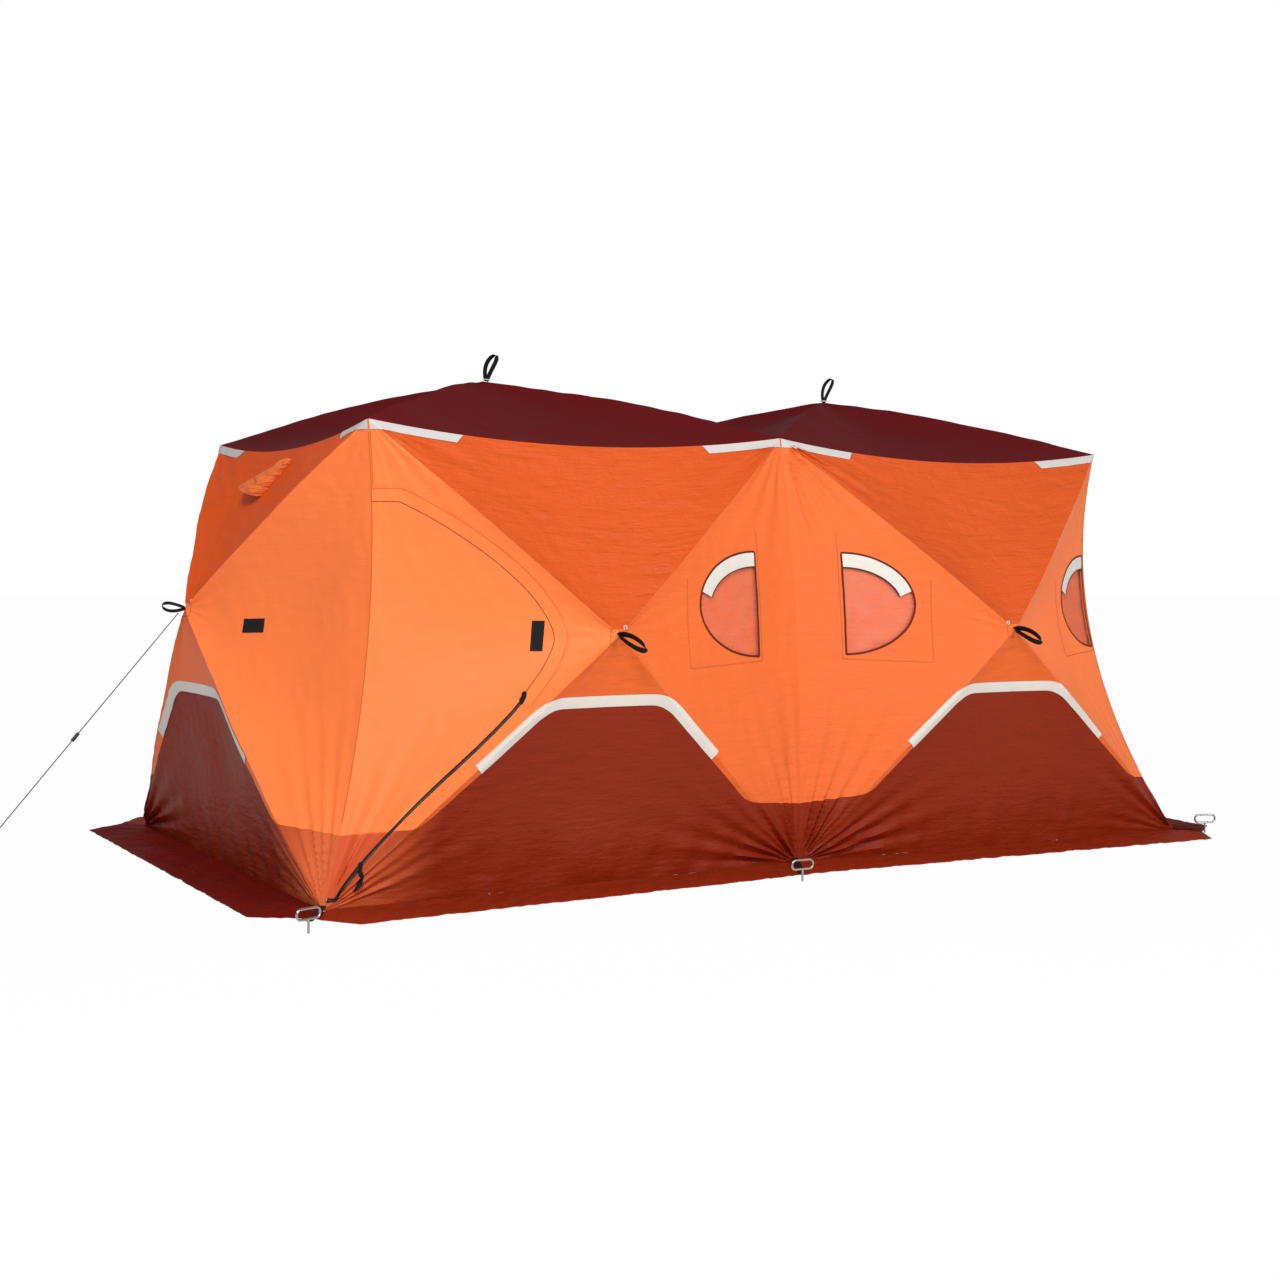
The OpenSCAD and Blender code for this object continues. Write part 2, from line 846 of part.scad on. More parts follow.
front_left_upper_panel();
front_right_upper_panel();
back_left_upper_panel();
back_right_upper_panel();
left_end_upper_panel();
right_end_upper_panel();
front_left_corner_panel();
front_left_middle_panel();
front_right_middle_panel();
front_right_corner_panel();
back_left_corner_panel();
back_left_middle_panel();
back_right_middle_panel();
back_right_corner_panel();
left_end_front_panel();
left_end_back_panel();
right_end_front_panel();
right_end_back_panel();
front_left_lower_panel();
front_right_lower_panel();
back_left_lower_panel();
back_right_lower_panel();
left_end_lower_panel();
right_end_lower_panel();
left_roof();
right_roof();
door();
front_windows();
back_windows();
vent_hoods();
roof_poles();
front_poles();
back_poles();
end_poles();
hubs();
pull_loops();
front_snow_skirt();
back_snow_skirt();
left_snow_skirt();
right_snow_skirt();
ice_anchors();
anchor_straps();
guy_lines();
guy_straps();
guy_sliders();
guy_anchors();
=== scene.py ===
# %% [markdown]
# # Pop-up ice fishing shelter
# Two square hub bays stand side by side under one fabric shell. Four glass-fibre poles in
# each wall meet in a hub that pops outward, so every wall is a shallow tent of its own.
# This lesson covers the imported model's plain solids with finished fabric, webbing and
# wire. The frame gives the size and the place of everything, in metres.

# %% Load the frame
import math

import bpy
import numpy as np
from mathutils import Matrix


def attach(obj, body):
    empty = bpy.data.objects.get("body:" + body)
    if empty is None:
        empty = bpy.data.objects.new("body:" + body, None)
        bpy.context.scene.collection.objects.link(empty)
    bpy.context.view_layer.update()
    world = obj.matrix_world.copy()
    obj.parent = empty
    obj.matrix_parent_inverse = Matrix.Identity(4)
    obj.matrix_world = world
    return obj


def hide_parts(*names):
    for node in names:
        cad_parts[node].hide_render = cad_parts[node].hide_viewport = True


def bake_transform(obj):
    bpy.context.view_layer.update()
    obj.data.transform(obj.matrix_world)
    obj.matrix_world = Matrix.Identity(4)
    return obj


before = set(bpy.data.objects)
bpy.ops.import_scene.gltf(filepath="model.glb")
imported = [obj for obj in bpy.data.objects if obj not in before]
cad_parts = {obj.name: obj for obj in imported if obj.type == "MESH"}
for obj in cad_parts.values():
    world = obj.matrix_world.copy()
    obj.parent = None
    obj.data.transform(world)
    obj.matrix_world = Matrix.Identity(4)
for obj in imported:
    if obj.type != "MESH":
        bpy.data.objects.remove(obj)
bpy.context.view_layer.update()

# %% [markdown]
# ## Camera
# The camera stands a little under eye height off the front left corner. A 50 mm lens from
# about six metres keeps the corners' natural perspective. The aim is a yaw, a pitch and a
# small roll, so the matrix is built from those three angles.

# %% Camera
YAW, PITCH, ROLL = 0.5264, -0.0416, 0.0069
CAMERA_AT = (-4.3425, -7.2623, 1.2469)


def unit(vector):
    """The same direction with length 1."""
    return vector / np.linalg.norm(vector)


def placed_by(right, upward, back, place):
    """World matrix of an object from its three axes and its place."""
    made = np.eye(4)
    made[:3] = np.stack([right, upward, back, place], 1)
    return Matrix(made.tolist())


level = math.cos(PITCH)
ahead = np.array([math.sin(YAW) * level, math.cos(YAW) * level, math.sin(PITCH)])
across = np.array([math.cos(YAW), -math.sin(YAW), 0.0])
above = np.cross(across, ahead)
right = math.cos(ROLL) * across + math.sin(ROLL) * above
upward = -math.sin(ROLL) * across + math.cos(ROLL) * above
lens = bpy.data.cameras.new("camera")
lens.lens, lens.sensor_width = 50.43, 36.0
camera = bpy.data.objects.new("camera", lens)
bpy.context.collection.objects.link(camera)
camera.matrix_world = placed_by(right, upward, -ahead, CAMERA_AT)
bpy.context.scene.camera = camera
print("camera", CAMERA_AT)

# %% [markdown]
# ## Floor, background and light
# The shelter stands on a plain white floor in soft studio light. Seen by the camera, the
# floor is mostly its own white, so only a faint shadow shows, and reflections see the
# same white. One broad lamp gives the left front its shape, and the pale world fills in.

# %% Floor and light
def new_material(name):
    """Empty node material with its output, ready for a shader."""
    made = bpy.data.materials.new(name)
    made.use_nodes = True
    made.node_tree.nodes.clear()
    return made, made.node_tree


def wire(tree, *links):
    """Joins nodes, each link given as source, output, target and input."""
    for source, output, target, place in links:
        tree.links.new(source.outputs[output], target.inputs[place])


WHITE, BLACK = (1, 1, 1, 1), (0, 0, 0, 1)
GLOW_SHARE = 0.975
stage_material, tree = new_material("white_floor")
out, mixed, matt, glow, path_kind, seen, seen_too, shown = (tree.nodes.new("ShaderNode" + kind) for kind in (
    "OutputMaterial", "MixShader", "BsdfDiffuse", "Emission", "LightPath", "Math", "Math", "Math"))
matt.inputs["Color"].default_value = (0.8, 0.8, 0.8, 1)
seen.operation, seen_too.operation, shown.operation = "MAXIMUM", "MAXIMUM", "MULTIPLY"
shown.inputs[1].default_value = GLOW_SHARE
wire(tree, (path_kind, "Is Camera Ray", seen, 0), (path_kind, "Is Glossy Ray", seen, 1),
     (seen, 0, seen_too, 0), (path_kind, "Is Transmission Ray", seen_too, 1), (seen_too, 0, shown, 0),
     (shown, 0, mixed, 0), (matt, 0, mixed, 1), (glow, 0, mixed, 2), (mixed, 0, out, 0))
floor_mesh = bpy.data.meshes.new("floor")
floor_mesh.from_pydata([(-60, -60, 0), (60, -60, 0), (60, 60, 0), (-60, 60, 0)], [], [(0, 1, 2, 3)])
floor_mesh.materials.append(stage_material)
floor = bpy.data.objects.new("floor", floor_mesh)
bpy.context.collection.objects.link(floor)

world = bpy.data.worlds.new("studio")
bpy.context.scene.world = world
world.use_nodes = True
sky = world.node_tree
sky.nodes.clear()
sky_out, sky_mix, sky_fill, sky_seen, sky_path = (sky.nodes.new("ShaderNode" + kind) for kind in (
    "OutputWorld", "MixShader", "Background", "Background", "LightPath"))
sky_fill.inputs["Color"].default_value = (0.93, 0.96, 1.0, 1)
sky_fill.inputs["Strength"].default_value = 0.38
sky_seen.inputs["Color"].default_value = WHITE
wire(sky, (sky_path, "Is Camera Ray", sky_mix, 0), (sky_fill, 0, sky_mix, 1), (sky_seen, 0, sky_mix, 2),
     (sky_mix, 0, sky_out, 0))


def area_lamp(name, place, target, size, power, colour=(1, 1, 1)):
    """Square lamp of that size at place, facing target; power in watts."""
    data = bpy.data.lights.new(name, "AREA")
    data.size, data.energy, data.color = size, power, colour
    lamp = bpy.data.objects.new(name, data)
    aim = unit(np.array(target, float) - np.array(place, float))
    side = unit(np.cross(aim, (0, 0, 1)))
    lamp.matrix_world = placed_by(side, np.cross(side, aim), -aim, place)
    bpy.context.collection.objects.link(lamp)


area_lamp("key_lamp", (-5.5, -8.5, 7.5), (-0.5, 0, 0.8), 2.6, 860, (1.0, 0.97, 0.93))
area_lamp("front_lamp", (3.0, -10.0, 3.5), (0.5, 0, 0.9), 4.0, 330)
bpy.context.scene.view_settings.view_transform = "Standard"

# %% [markdown]
# ## Measurements
# The fabric follows the same surface as the solids: a corner seam that leans in and bows
# inwards, a middle seam that bows out, sagging eaves and a hub in the middle of each
# wall. The numbers are the model's own, in metres. WIDE and END_WIDE are half the width of
# a side wall and of an end wall, and the last two rows give the rust band's upper edge.

# %% Measurements
BAY, EAVE, PEAK, FLARE, FOOT = 1.84, 1.79, 2.06, 0.285, 0.006
HALF = BAY / 2
BASE_Y = HALF + FLARE
CORNER_PULL, MIDDLE_OUT, MIDDLE_IN, MIDDLE_BOW = 0.135, 0.035, 0.085, 0.070
EAVE_SAG, VALLEY_SAG, POLE_BOW, PANEL_DISH = 0.070, 0.040, 0.025, 0.045
SIDE_HUB = np.array([-(BAY + FLARE / 2) / 2, -(HALF + FLARE / 2 + 0.275), 0.98])
END_HUB = np.array([-(BAY + FLARE / 2 + 0.290), 0.0, 1.06])
ROOF_HUB = np.array([-HALF, 0.0, PEAK])
CLOTH_T = 0.004
WIDE, END_WIDE = -SIDE_HUB[0], 1.06
BAND_TOP, BAND_HALF, LEG_SLOPE = 0.705, 0.24, 0.934
BAND_LOW, LOW_FROM, LOW_SLOPE = 0.285, 0.7, 0.1
print("hubs", SIDE_HUB, END_HUB, ROOF_HUB)

# %% [markdown]
# ## Seams and small helpers
# A seam is a curve in height: a straight lean plus a bow that is greatest at mid height.
# Soft random waves and fans of folds come from sums of sines with seeded directions, so
# that each run gives the same cloth.

# %% Seams and waves
def ease(x):
    """0 below 0, 1 above 1, and 3x squared minus 2x cubed between."""
    x = np.clip(x, 0, 1)
    return x * x * (3 - 2 * x)


def ramp(x):
    """0 up to 0.85 on either side, then rising as a square to 1."""
    return np.maximum(0, (np.abs(x) - 0.85) / 0.15) ** 2


def bowed(z):
    """Four times the height's share times the rest: 0 at both ends and 1 at mid height."""
    return 4 * (z / EAVE) * (1 - z / EAVE)


def corner_seam(z):
    """Front left seam: leans out by the flare at the foot, less the bow."""
    out = FLARE * (1 - z / EAVE) - CORNER_PULL * bowed(z)
    return np.stack([-BAY - out, -HALF - out, z + 0 * out], -1)


def middle_seam(z):
    """Seam between the bays: from the base edge to the eave, plus its bow."""
    t = z / EAVE
    y = -(BASE_Y - MIDDLE_IN) * (1 - t) - (HALF + MIDDLE_OUT) * t - MIDDLE_BOW * bowed(z)
    return np.stack([0 * y, y, z + 0 * y], -1)


def waves(x, y, seed, count=9):
    """Sum of sines of a plane's x and y, in seeded directions, lengths and phases."""
    draw = np.random.default_rng(seed)
    turn, size, phase = (draw.uniform(*span, count) for span in ((0, 2 * np.pi), (0.7, 1.5), (0, 7)))
    x, y = np.asarray(x)[..., None], np.asarray(y)[..., None]
    along = x * np.cos(turn) + y * np.sin(turn)
    return np.sin(2 * np.pi * size * along + phase).sum(-1) / np.sqrt(count)


def tension(x, y, seed):
    """Tension wrinkles: sines across two slanting directions, bent a little and strong in patches."""
    total = 0
    for turn, size, more in ((1.25, 0.078, 0), (1.95, 0.064, 1)):
        patch = ease(0.5 + 0.5 * waves(x / 0.45, y / 0.35, seed + more, 6))
        across = y * math.sin(turn) + x * math.cos(turn)
        bend = 1.6 * waves(x / 0.5, y / 0.4, seed + 3 + more, 6)
        total = total + patch * np.sin(2 * np.pi * across / size + bend)
    return total


def fan(dx, dy, reach, folds, seed):
    """Folds that spread from a point: sines of the direction, fading with distance squared."""
    draw = np.random.default_rng(seed)
    often, phase = draw.uniform(0.6, 1.5, 5) * folds, draw.uniform(0, 7, 5)
    way, far = np.arctan2(dy, np.abs(dx) + 1e-9), np.hypot(dx, dy)
    ridges = np.sin(way[..., None] * often + phase).sum(-1) / 2.2
    return ridges * np.exp(-((far / reach) ** 2)) * ease(far / 0.07)


print("corner seam at the foot, middle and top", corner_seam(np.array([0, 0.9, EAVE])).round(3).tolist())

# %% [markdown]
# ## The walls' surface
# A point on a wall is named by two numbers: how far across it lies, from -1 at one seam
# to 1 at the other, and its height. From the hub, straight lines run to the wall's frame
# of seams, eave and foot. The cloth stands out a little along the poles and falls back
# between them. Folds are added on top, and they die away at the seams, so that
# neighbouring panels always meet.

# %% Wall surface
class Wall:
    """One wall of one bay, drawn at the front left or the left end, and mirrored by flip."""

    def __init__(self, hub, out, end, flip, seed):
        self.hub, self.out, self.end, self.flip, self.seed = hub, np.array(out, float), end, flip, seed
        self.width = END_WIDE if end else WIDE
        self.turned = flip[0] * flip[1] < 0

    def seam(self, a, z):
        """The left or right seam, whichever side a is on."""
        near = corner_seam(z)
        left = near * (1, -1, 1) if self.end else near
        return np.where((a < 0)[..., None], left, near if self.end else middle_seam(z))

    def level(self, z):
        """Height as a share of the way from the hub to the eave, or down to the foot."""
        h = self.hub[2]
        return np.where(z > h, (z - h) / (EAVE - h), (z - h) / (h - FOOT))

    def height(self, b):
        """The height at that share: the inverse of level."""
        h = self.hub[2]
        return np.where(b > 0, h + b * (EAVE - h), h + b * (h - FOOT))

    def pole(self, a):
        """Height of the poles over the hub, a little above it near the middle."""
        return self.height(np.maximum(np.abs(a), 0.03))

    def folds(self, a, z):
        """How far the cloth stands out: soft waves, creases above the poles, and fans of folds."""
        x, s = a * self.width, self.seed
        top = ease((z - self.height(np.abs(a))) / 0.10)
        far = np.hypot(x, z - self.hub[2])
        out = 0.0030 * waves(x / 0.55, z / 0.55, s) + 0.0007 * waves(x / 0.09, z / 0.12, s + 1)
        out += top * (0.0010 * waves(x / 0.42 + z / 0.5, z / 0.085, s + 2) + 0.0018 * tension(x, z, s + 20))
        out += (1 - top) * 0.0004 * tension(x, z, s + 24)
        out += 0.0022 * fan(x, z - self.hub[2], 0.22, 16, s + 3) * ease(far / 0.05)
        right_foot, right_head = (0.0085, 0.005) if self.end else (0.0105, 0.0085)
        for side, foot, head, reach in ((-1, 0.0085, 0.005, 0.34), (1, right_foot, right_head, 0.42)):
            out += foot * fan(x - side * self.width, z, reach + 0.1, 30, s + 4 + side)
            out += head * fan(x - side * self.width, z - EAVE, reach, 22, s + 9 + side)
        low = 0.004 * ease((0.30 - z) / 0.2) * waves(x / 0.14, z / 0.7, s + 12)
        return (out + low) * ease((1 - np.abs(a)) / 0.05) * ease((EAVE - z) / 0.05) * ease((z - FOOT) / 0.05)

    def surface(self, a, z):
        """Hub plus the share m of the way to the frame, plus the stand-out along the wall."""
        b = self.level(z)
        m = np.maximum(np.maximum(np.abs(a), np.abs(b)), 1e-9)
        upright = np.abs(b) >= np.abs(a)
        q = np.where(upright, a, 0) / m
        edge = np.where(b > 0, EAVE, FOOT)
        left, right_side = self.seam(-np.ones_like(a), edge), self.seam(np.ones_like(a), edge)
        rim = left * ((1 - q) / 2)[..., None] + right_side * ((1 + q) / 2)[..., None]
        rim[..., 2] -= np.where(b > 0, EAVE_SAG * (1 - q * q), 0)
        rim = np.where(upright[..., None], rim, self.seam(a, self.height(b / m)))
        r = np.minimum(np.abs(a), np.abs(b)) / m
        stand = 4 * m * (1 - m) * (POLE_BOW - PANEL_DISH * (1 - r * r)) + self.folds(a, z)
        return self.hub + m[..., None] * (rim - self.hub) + stand[..., None] * self.out

    def inward(self, a, z):
        """Direction through the cloth: straight in, turned at the seams and the eave."""
        side, top = ramp(a), ramp(np.maximum(0, self.level(z)))
        one = np.ones_like(a)
        if self.end:
            return np.stack([one, np.sign(a) * side, -top], -1)
        return np.stack([np.where(a < 0, side, 0), one, -top], -1)

    def point(self, a, z, lift=0.0):
        """Point on the wall, lifted off the cloth's outer face, in the shelter's frame."""
        a, z, lift = np.broadcast_arrays(np.asarray(a, float), np.asarray(z, float), np.asarray(lift, float))
        p = self.surface(a, z) - lift[..., None] * self.inward(a, z)
        return p * (self.flip[0], self.flip[1], 1)


SIDE, END = (SIDE_HUB, (0, -1, 0), False), (END_HUB, (-1, 0, 0), True)
WALLS = {
    "front_left": Wall(*SIDE, (1, 1), 10), "front_right": Wall(*SIDE, (-1, 1), 40),
    "back_left": Wall(*SIDE, (1, -1), 70), "back_right": Wall(*SIDE, (-1, -1), 100),
    "left_end": Wall(*END, (1, 1), 130), "right_end": Wall(*END, (-1, 1), 160),
}
print("front left hub", WALLS["front_left"].point(0.0, 0.98).round(3))

# %% [markdown]
# ## From grid to mesh
# Every piece of cloth, tape or webbing is a grid of outer points and a grid of inner
# points. Cells that lie in a window or a doorway are left out, points that coincide are
# welded, and each open edge gets a rim, so that the piece is a closed skin with its
# faces outwards. A map of the piece's own keeps its two parameters for the materials.

# %% Grid to mesh
def grid_cells(rows, cols):
    """The four corners of every cell of a grid, as numbers of its points."""
    index = np.arange(rows * cols).reshape(rows, cols)
    return np.stack([index[:-1, :-1], index[:-1, 1:], index[1:, 1:], index[1:, :-1]], -1)


def welded(cells, flat):
    """Welds points that coincide: one of each, whole cells, and cells pinched to triangles."""
    _, first, same = np.unique(np.round(flat, 6), axis=0, return_index=True, return_inverse=True)
    cells = same.reshape(-1)[cells]
    closed = cells == np.roll(cells, -1, axis=1)
    whole, pinched = closed.sum(1) == 0, closed.sum(1) == 1
    at = closed[pinched].argmax(1)
    return first, cells[whole], np.take_along_axis(cells[pinched], (at[:, None] + 1 + np.arange(3)) % 4, 1)


def grid_part(outer, inner, uv, keep=None, turned=False):
    """Vertices, faces and map of a closed skin between two grids; keep marks the cells that exist."""
    cells = grid_cells(*outer.shape[:2])
    cells = cells[np.ones(cells.shape[:2], bool) if keep is None else keep]
    flat = outer.reshape(-1, 3)
    first, quads, tris = welded(cells, flat)
    edges = [np.stack([f, np.roll(f, -1, axis=1)], -1).reshape(-1, 2) for f in (quads, tris)]
    edges = np.concatenate(edges)
    n = len(first)
    code, back = edges[:, 0] * n + edges[:, 1], edges[:, 1] * n + edges[:, 0]
    open_edges = edges[~np.isin(code, back)]
    u, v = open_edges[:, 0], open_edges[:, 1]
    rim = np.stack([v, u, u + n, v + n], -1)
    quads = np.concatenate([quads, quads[:, ::-1] + n, rim])
    tris = np.concatenate([tris, tris[:, ::-1] + n])
    if turned:
        quads, tris = quads[:, ::-1], tris[:, ::-1]
    points = np.concatenate([flat[first], inner.reshape(-1, 3)[first]])
    maps = np.tile(uv.reshape(-1, 2)[first], (2, 1))
    return points, quads, tris, maps


def piece(name, parts, material, replaces=(), body="shelter"):
    """One object from one or more parts, riding on a body."""
    starts = np.cumsum([0] + [len(p[0]) for p in parts[:-1]])
    points, maps = (np.concatenate([p[i] for p in parts]) for i in (0, 3))
    quads, tris = (np.concatenate([p[i] + start for p, start in zip(parts, starts)]) for i in (1, 2))
    mesh = bpy.data.meshes.new(name)
    mesh.from_pydata(points.tolist(), [], quads.tolist() + tris.tolist())
    layer = mesh.uv_layers.new(name="cloth")
    corner = np.zeros(len(mesh.loops), int)
    mesh.loops.foreach_get("vertex_index", corner)
    layer.data.foreach_set("uv", maps[corner].astype(np.float32).ravel())
    mesh.polygons.foreach_set("use_smooth", np.ones(len(mesh.polygons), bool))
    mesh.set_sharp_from_angle(angle=math.radians(48))
    mesh.materials.append(material)
    obj = bpy.data.objects.new(name, mesh)
    bpy.context.collection.objects.link(obj)
    if body:
        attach(obj, body)
    if replaces:
        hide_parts(*replaces)
    return obj


def cloth_area(grid, keep=None):
    """Area of a grid: half the cross product of each cell's diagonals."""
    d1, d2 = grid[1:, 1:] - grid[:-1, :-1], grid[1:, :-1] - grid[:-1, 1:]
    cell = np.linalg.norm(np.cross(d1, d2), axis=-1) / 2
    return float(cell.sum() if keep is None else cell[keep].sum())


def cloth_size(grid):
    """Longest row and longest column of a grid, measured along the cloth."""
    down = np.linalg.norm(np.diff(grid, axis=1), axis=-1).sum(1).max()
    along = np.linalg.norm(np.diff(grid, axis=0), axis=-1).sum(0).max()
    return float(along), float(down)


BOX_SHARE = 0.301


def within_box(area, width, length):
    """Area kept between three tenths of its flat box and the whole box."""
    return float(np.clip(area, BOX_SHARE * width * length, width * length))


print("mesh helpers ready")

# %% [markdown]
# ## Shader values
# A material is arithmetic on values that vary over the cloth. One small class wraps a
# node's output, so that plus, minus and times read as they do on paper, and one method
# adds any other node.

# %% Shader arithmetic
class Value:
    """A shader value: one node output, with the arithmetic that materials need."""

    def __init__(self, tree, source):
        self.tree, self.source = tree, source

    def add(self, kind, settings=None, values=None, output=0):
        """Adds a node: its settings first, then its inputs' values or links."""
        node = self.tree.nodes.new(kind)
        for key, setting in (settings or {}).items():
            setattr(node, key, setting)
        for key, value in (values or {}).items():
            if isinstance(value, Value):
                self.tree.links.new(value.source, node.inputs[key])
            else:
                node.inputs[key].default_value = value
        return Value(self.tree, node.outputs[output])

    def sum(self, operation, *values):
        return self.add("ShaderNodeMath", {"operation": operation}, dict(enumerate(values)))

    def __add__(self, other):
        return self.sum("ADD", self, other)

    def __sub__(self, other):
        return self.sum("SUBTRACT", self, other)

    def __mul__(self, other):
        return self.sum("MULTIPLY", self, other)

    def __rsub__(self, other):
        return self.sum("SUBTRACT", other, self)

    __radd__, __rmul__ = __add__, __mul__

    def size(self):
        """The value without its sign."""
        return self.sum("ABSOLUTE", self)

    def between(self, low, high):
        """0 up to low, 1 from high on, and straight between."""
        ends = {"From Min": low, "From Max": high}
        return self.add("ShaderNodeMapRange", {"clamp": True}, {"Value": self, **ends})

    def below_zero(self, soft):
        """White where the value is under 0 and black where it is over, soft between."""
        return self.between(-soft, soft).mix(WHITE, BLACK)

    def bump(self, strength, distance):
        """Relief of that height, as a direction for a surface."""
        return self.add("ShaderNodeBump", None, {"Strength": strength, "Distance": distance, "Height": self})

    def into(self, shader, name):
        """Feeds the value into one of a shader's inputs."""
        self.tree.links.new(self.source, shader.inputs[name])

    def mix(self, low, high):
        """Colour low where the value is 0, and high where it is 1."""
        return self.add("ShaderNodeMix", {"data_type": "RGBA"}, {0: self, 6: low, 7: high}, 2)

    def noise(self, scale, detail=3.0, rough=0.55, stretch=(1, 1, 1)):
        """Noise over a vector, stretched by scaling it first."""
        scaled = self.add("ShaderNodeVectorMath", {"operation": "MULTIPLY"}, {0: self, 1: stretch})
        values = {"Vector": scaled, "Scale": scale, "Detail": detail, "Roughness": rough}
        return self.add("ShaderNodeTexNoise", None, values)


def linear(text):
    """Linear colour of a hex text."""
    parts = [int(text[i:i + 2], 16) / 255 for i in (1, 3, 5)]
    return tuple(p / 12.92 if p <= 0.04045 else ((p + 0.055) / 1.055) ** 2.4 for p in parts) + (1.0,)


def start_material(name):
    """New material, its surface shader and a value to add the other nodes from."""
    made, nodes = new_material(name)
    output = nodes.nodes.new("ShaderNodeOutputMaterial")
    shader = nodes.nodes.new("ShaderNodeBsdfPrincipled")
    nodes.links.new(shader.outputs[0], output.inputs[0])
    return made, shader, Value(nodes, None)


print("bright orange in linear light", [round(c, 3) for c in linear("#ff8448")])

# %% [markdown]
# ## Materials
# The shell is coated nylon: bright orange round the corners, deeper orange above and
# below the hubs, and rust in the lower band. The deeper orange is partly its own cloth and
# partly painted shade, the corners' bright orange is partly painted light, and the lighter
# rust by the front left corner is a painted sheen. It shines softly along its tension
# wrinkles. Painted edges follow the map of each panel, which is the same pair of numbers
# as the wall's, so a colour boundary stays on its seam even when the door swings.

# %% Fabric materials
def fabric(name, colour, second=None, mask=None, rough=0.5, wrinkle=1.0, grain=1.0, crease=0.0,
           depth=0.006, shine=0.14):
    """Coated cloth: soft patches in the colour, wrinkles and weave in the relief."""
    made, shader, root = start_material(name)
    spot = root.add("ShaderNodeUVMap", {"uv_map": "cloth"})
    base = mask(spot).mix(colour, second) if second else colour
    cloud = spot.noise(3.1, 3)
    shade = (cloud * 0.22 + 0.89).mix(BLACK, WHITE)
    blend = {"data_type": "RGBA", "blend_type": "MULTIPLY"}
    spot.add("ShaderNodeMix", blend, {0: 1.0, 6: base, 7: shade}, 2).into(shader, "Base Color")
    shader.inputs["Specular IOR Level"].default_value = shine
    (cloud * 0.16 + (rough - 0.08)).into(shader, "Roughness")
    broad, narrow = spot.noise(9, 4, 0.6, (1, 1.7, 1)), spot.noise(34, 2, 0.5, (1.6, 1, 1))
    relief = (broad * 0.75 + narrow * 0.16) * wrinkle
    weave = spot.noise(900, 1) * (0.018 * grain)
    if crease:
        sharp = spot.noise(5.5, 4, 0.55, (0.5, 3.2, 1)) - 0.5
        slant = spot.noise(5.0, 3, 0.5, (2.4, 1, 1)) - 0.5
        relief = relief - sharp.size() * crease - slant.size() * (0.25 * crease)
    (relief + weave).bump(0.9, depth).into(shader, "Normal")
    return made


def parts_of(spot):
    """The map's two numbers as values: the size of across, across itself, and height."""
    a, z = (spot.add("ShaderNodeSeparateXYZ", None, {0: spot}, output) for output in (0, 1))
    return a.size(), a, z


def under_hub(hub_height):
    """Mask of the darker triangle under a hub, partly its own cloth and partly painted shade: below the pole
    lines, height under h - |a| (h - foot).
    """
    def mask(spot):
        wide, _, z = parts_of(spot)
        return (z - (hub_height - wide * (hub_height - FOOT))).below_zero(0.006)
    return mask


def below_band(spot):
    """Mask of the rust part of the door: under the lower band's edge."""
    wide, _, z = parts_of(spot)
    leg = BAND_TOP - LEG_SLOPE * (wide - BAND_HALF)
    low = BAND_LOW - LOW_SLOPE * (wide - LOW_FROM).sum("MAXIMUM", wide - LOW_FROM, 0.0)
    edge = leg.add("ShaderNodeMath", {"operation": "SMOOTH_MAX"}, {0: leg, 1: low, 2: 0.04})
    return (z - edge).below_zero(0.003)


def painted_sheen_near_corner(side):
    """Mask of a painted satin sheen near one corner seam: lighter rust over the last third of the way across.
    """
    return lambda spot: (side * parts_of(spot)[1]).between(0.60, 0.92) * 0.85


# The upper panels' deeper orange is partly a different cloth and partly painted shade, and so is the darker
# orange under each hub.
BRIGHT_AND_LIT, DEEP_AND_SHADE, RUST = linear("#f47b40"), linear("#cc5014"), linear("#84250b")
SIDE_MASK, SEWN_RUST = under_hub(SIDE_HUB[2]), {"wrinkle": 1.5, "crease": 1.6}
SATIN = {"rough": 0.55, "crease": 1.2, "depth": 0.009, "shine": 0.05}
# The corner panels' bright orange, also used on the door and the storm flap, is partly a brighter cloth and
# partly painted light.
bright_side_and_lit = fabric("corner_orange_nylon_with_painted_light_and_shade", BRIGHT_AND_LIT, linear("#d9622a"), SIDE_MASK, wrinkle=1.2, crease=0.8)
middle_orange = fabric("middle_orange_nylon_with_painted_shade", linear("#e26a32"), linear("#d9622a"), SIDE_MASK,
                       wrinkle=1.3, crease=1.6)
bright_end_and_lit = fabric("bright_orange_nylon_of_the_ends", BRIGHT_AND_LIT, linear("#ee6c34"), under_hub(END_HUB[2]),
                    crease=0.8)
# The door's rust part below the band is a lighter rust: the rust band with the corner's painted sheen in its
# colour.
door_cloth_look = fabric("door_nylon", BRIGHT_AND_LIT, linear("#c85028"), below_band, wrinkle=0.7)
# Painted shade: the upper panels' deeper orange is partly shade painted into the colour.
deep_orange_and_shade = fabric("upper_orange_nylon_with_painted_shade", DEEP_AND_SHADE, wrinkle=1.6, crease=2.6, depth=0.009, shine=0.25)
deep_end_and_shade = fabric("upper_orange_nylon_of_the_ends_with_painted_shade", linear("#dc541a"), wrinkle=1.2, crease=1.2, depth=0.008,
                  shine=0.05)
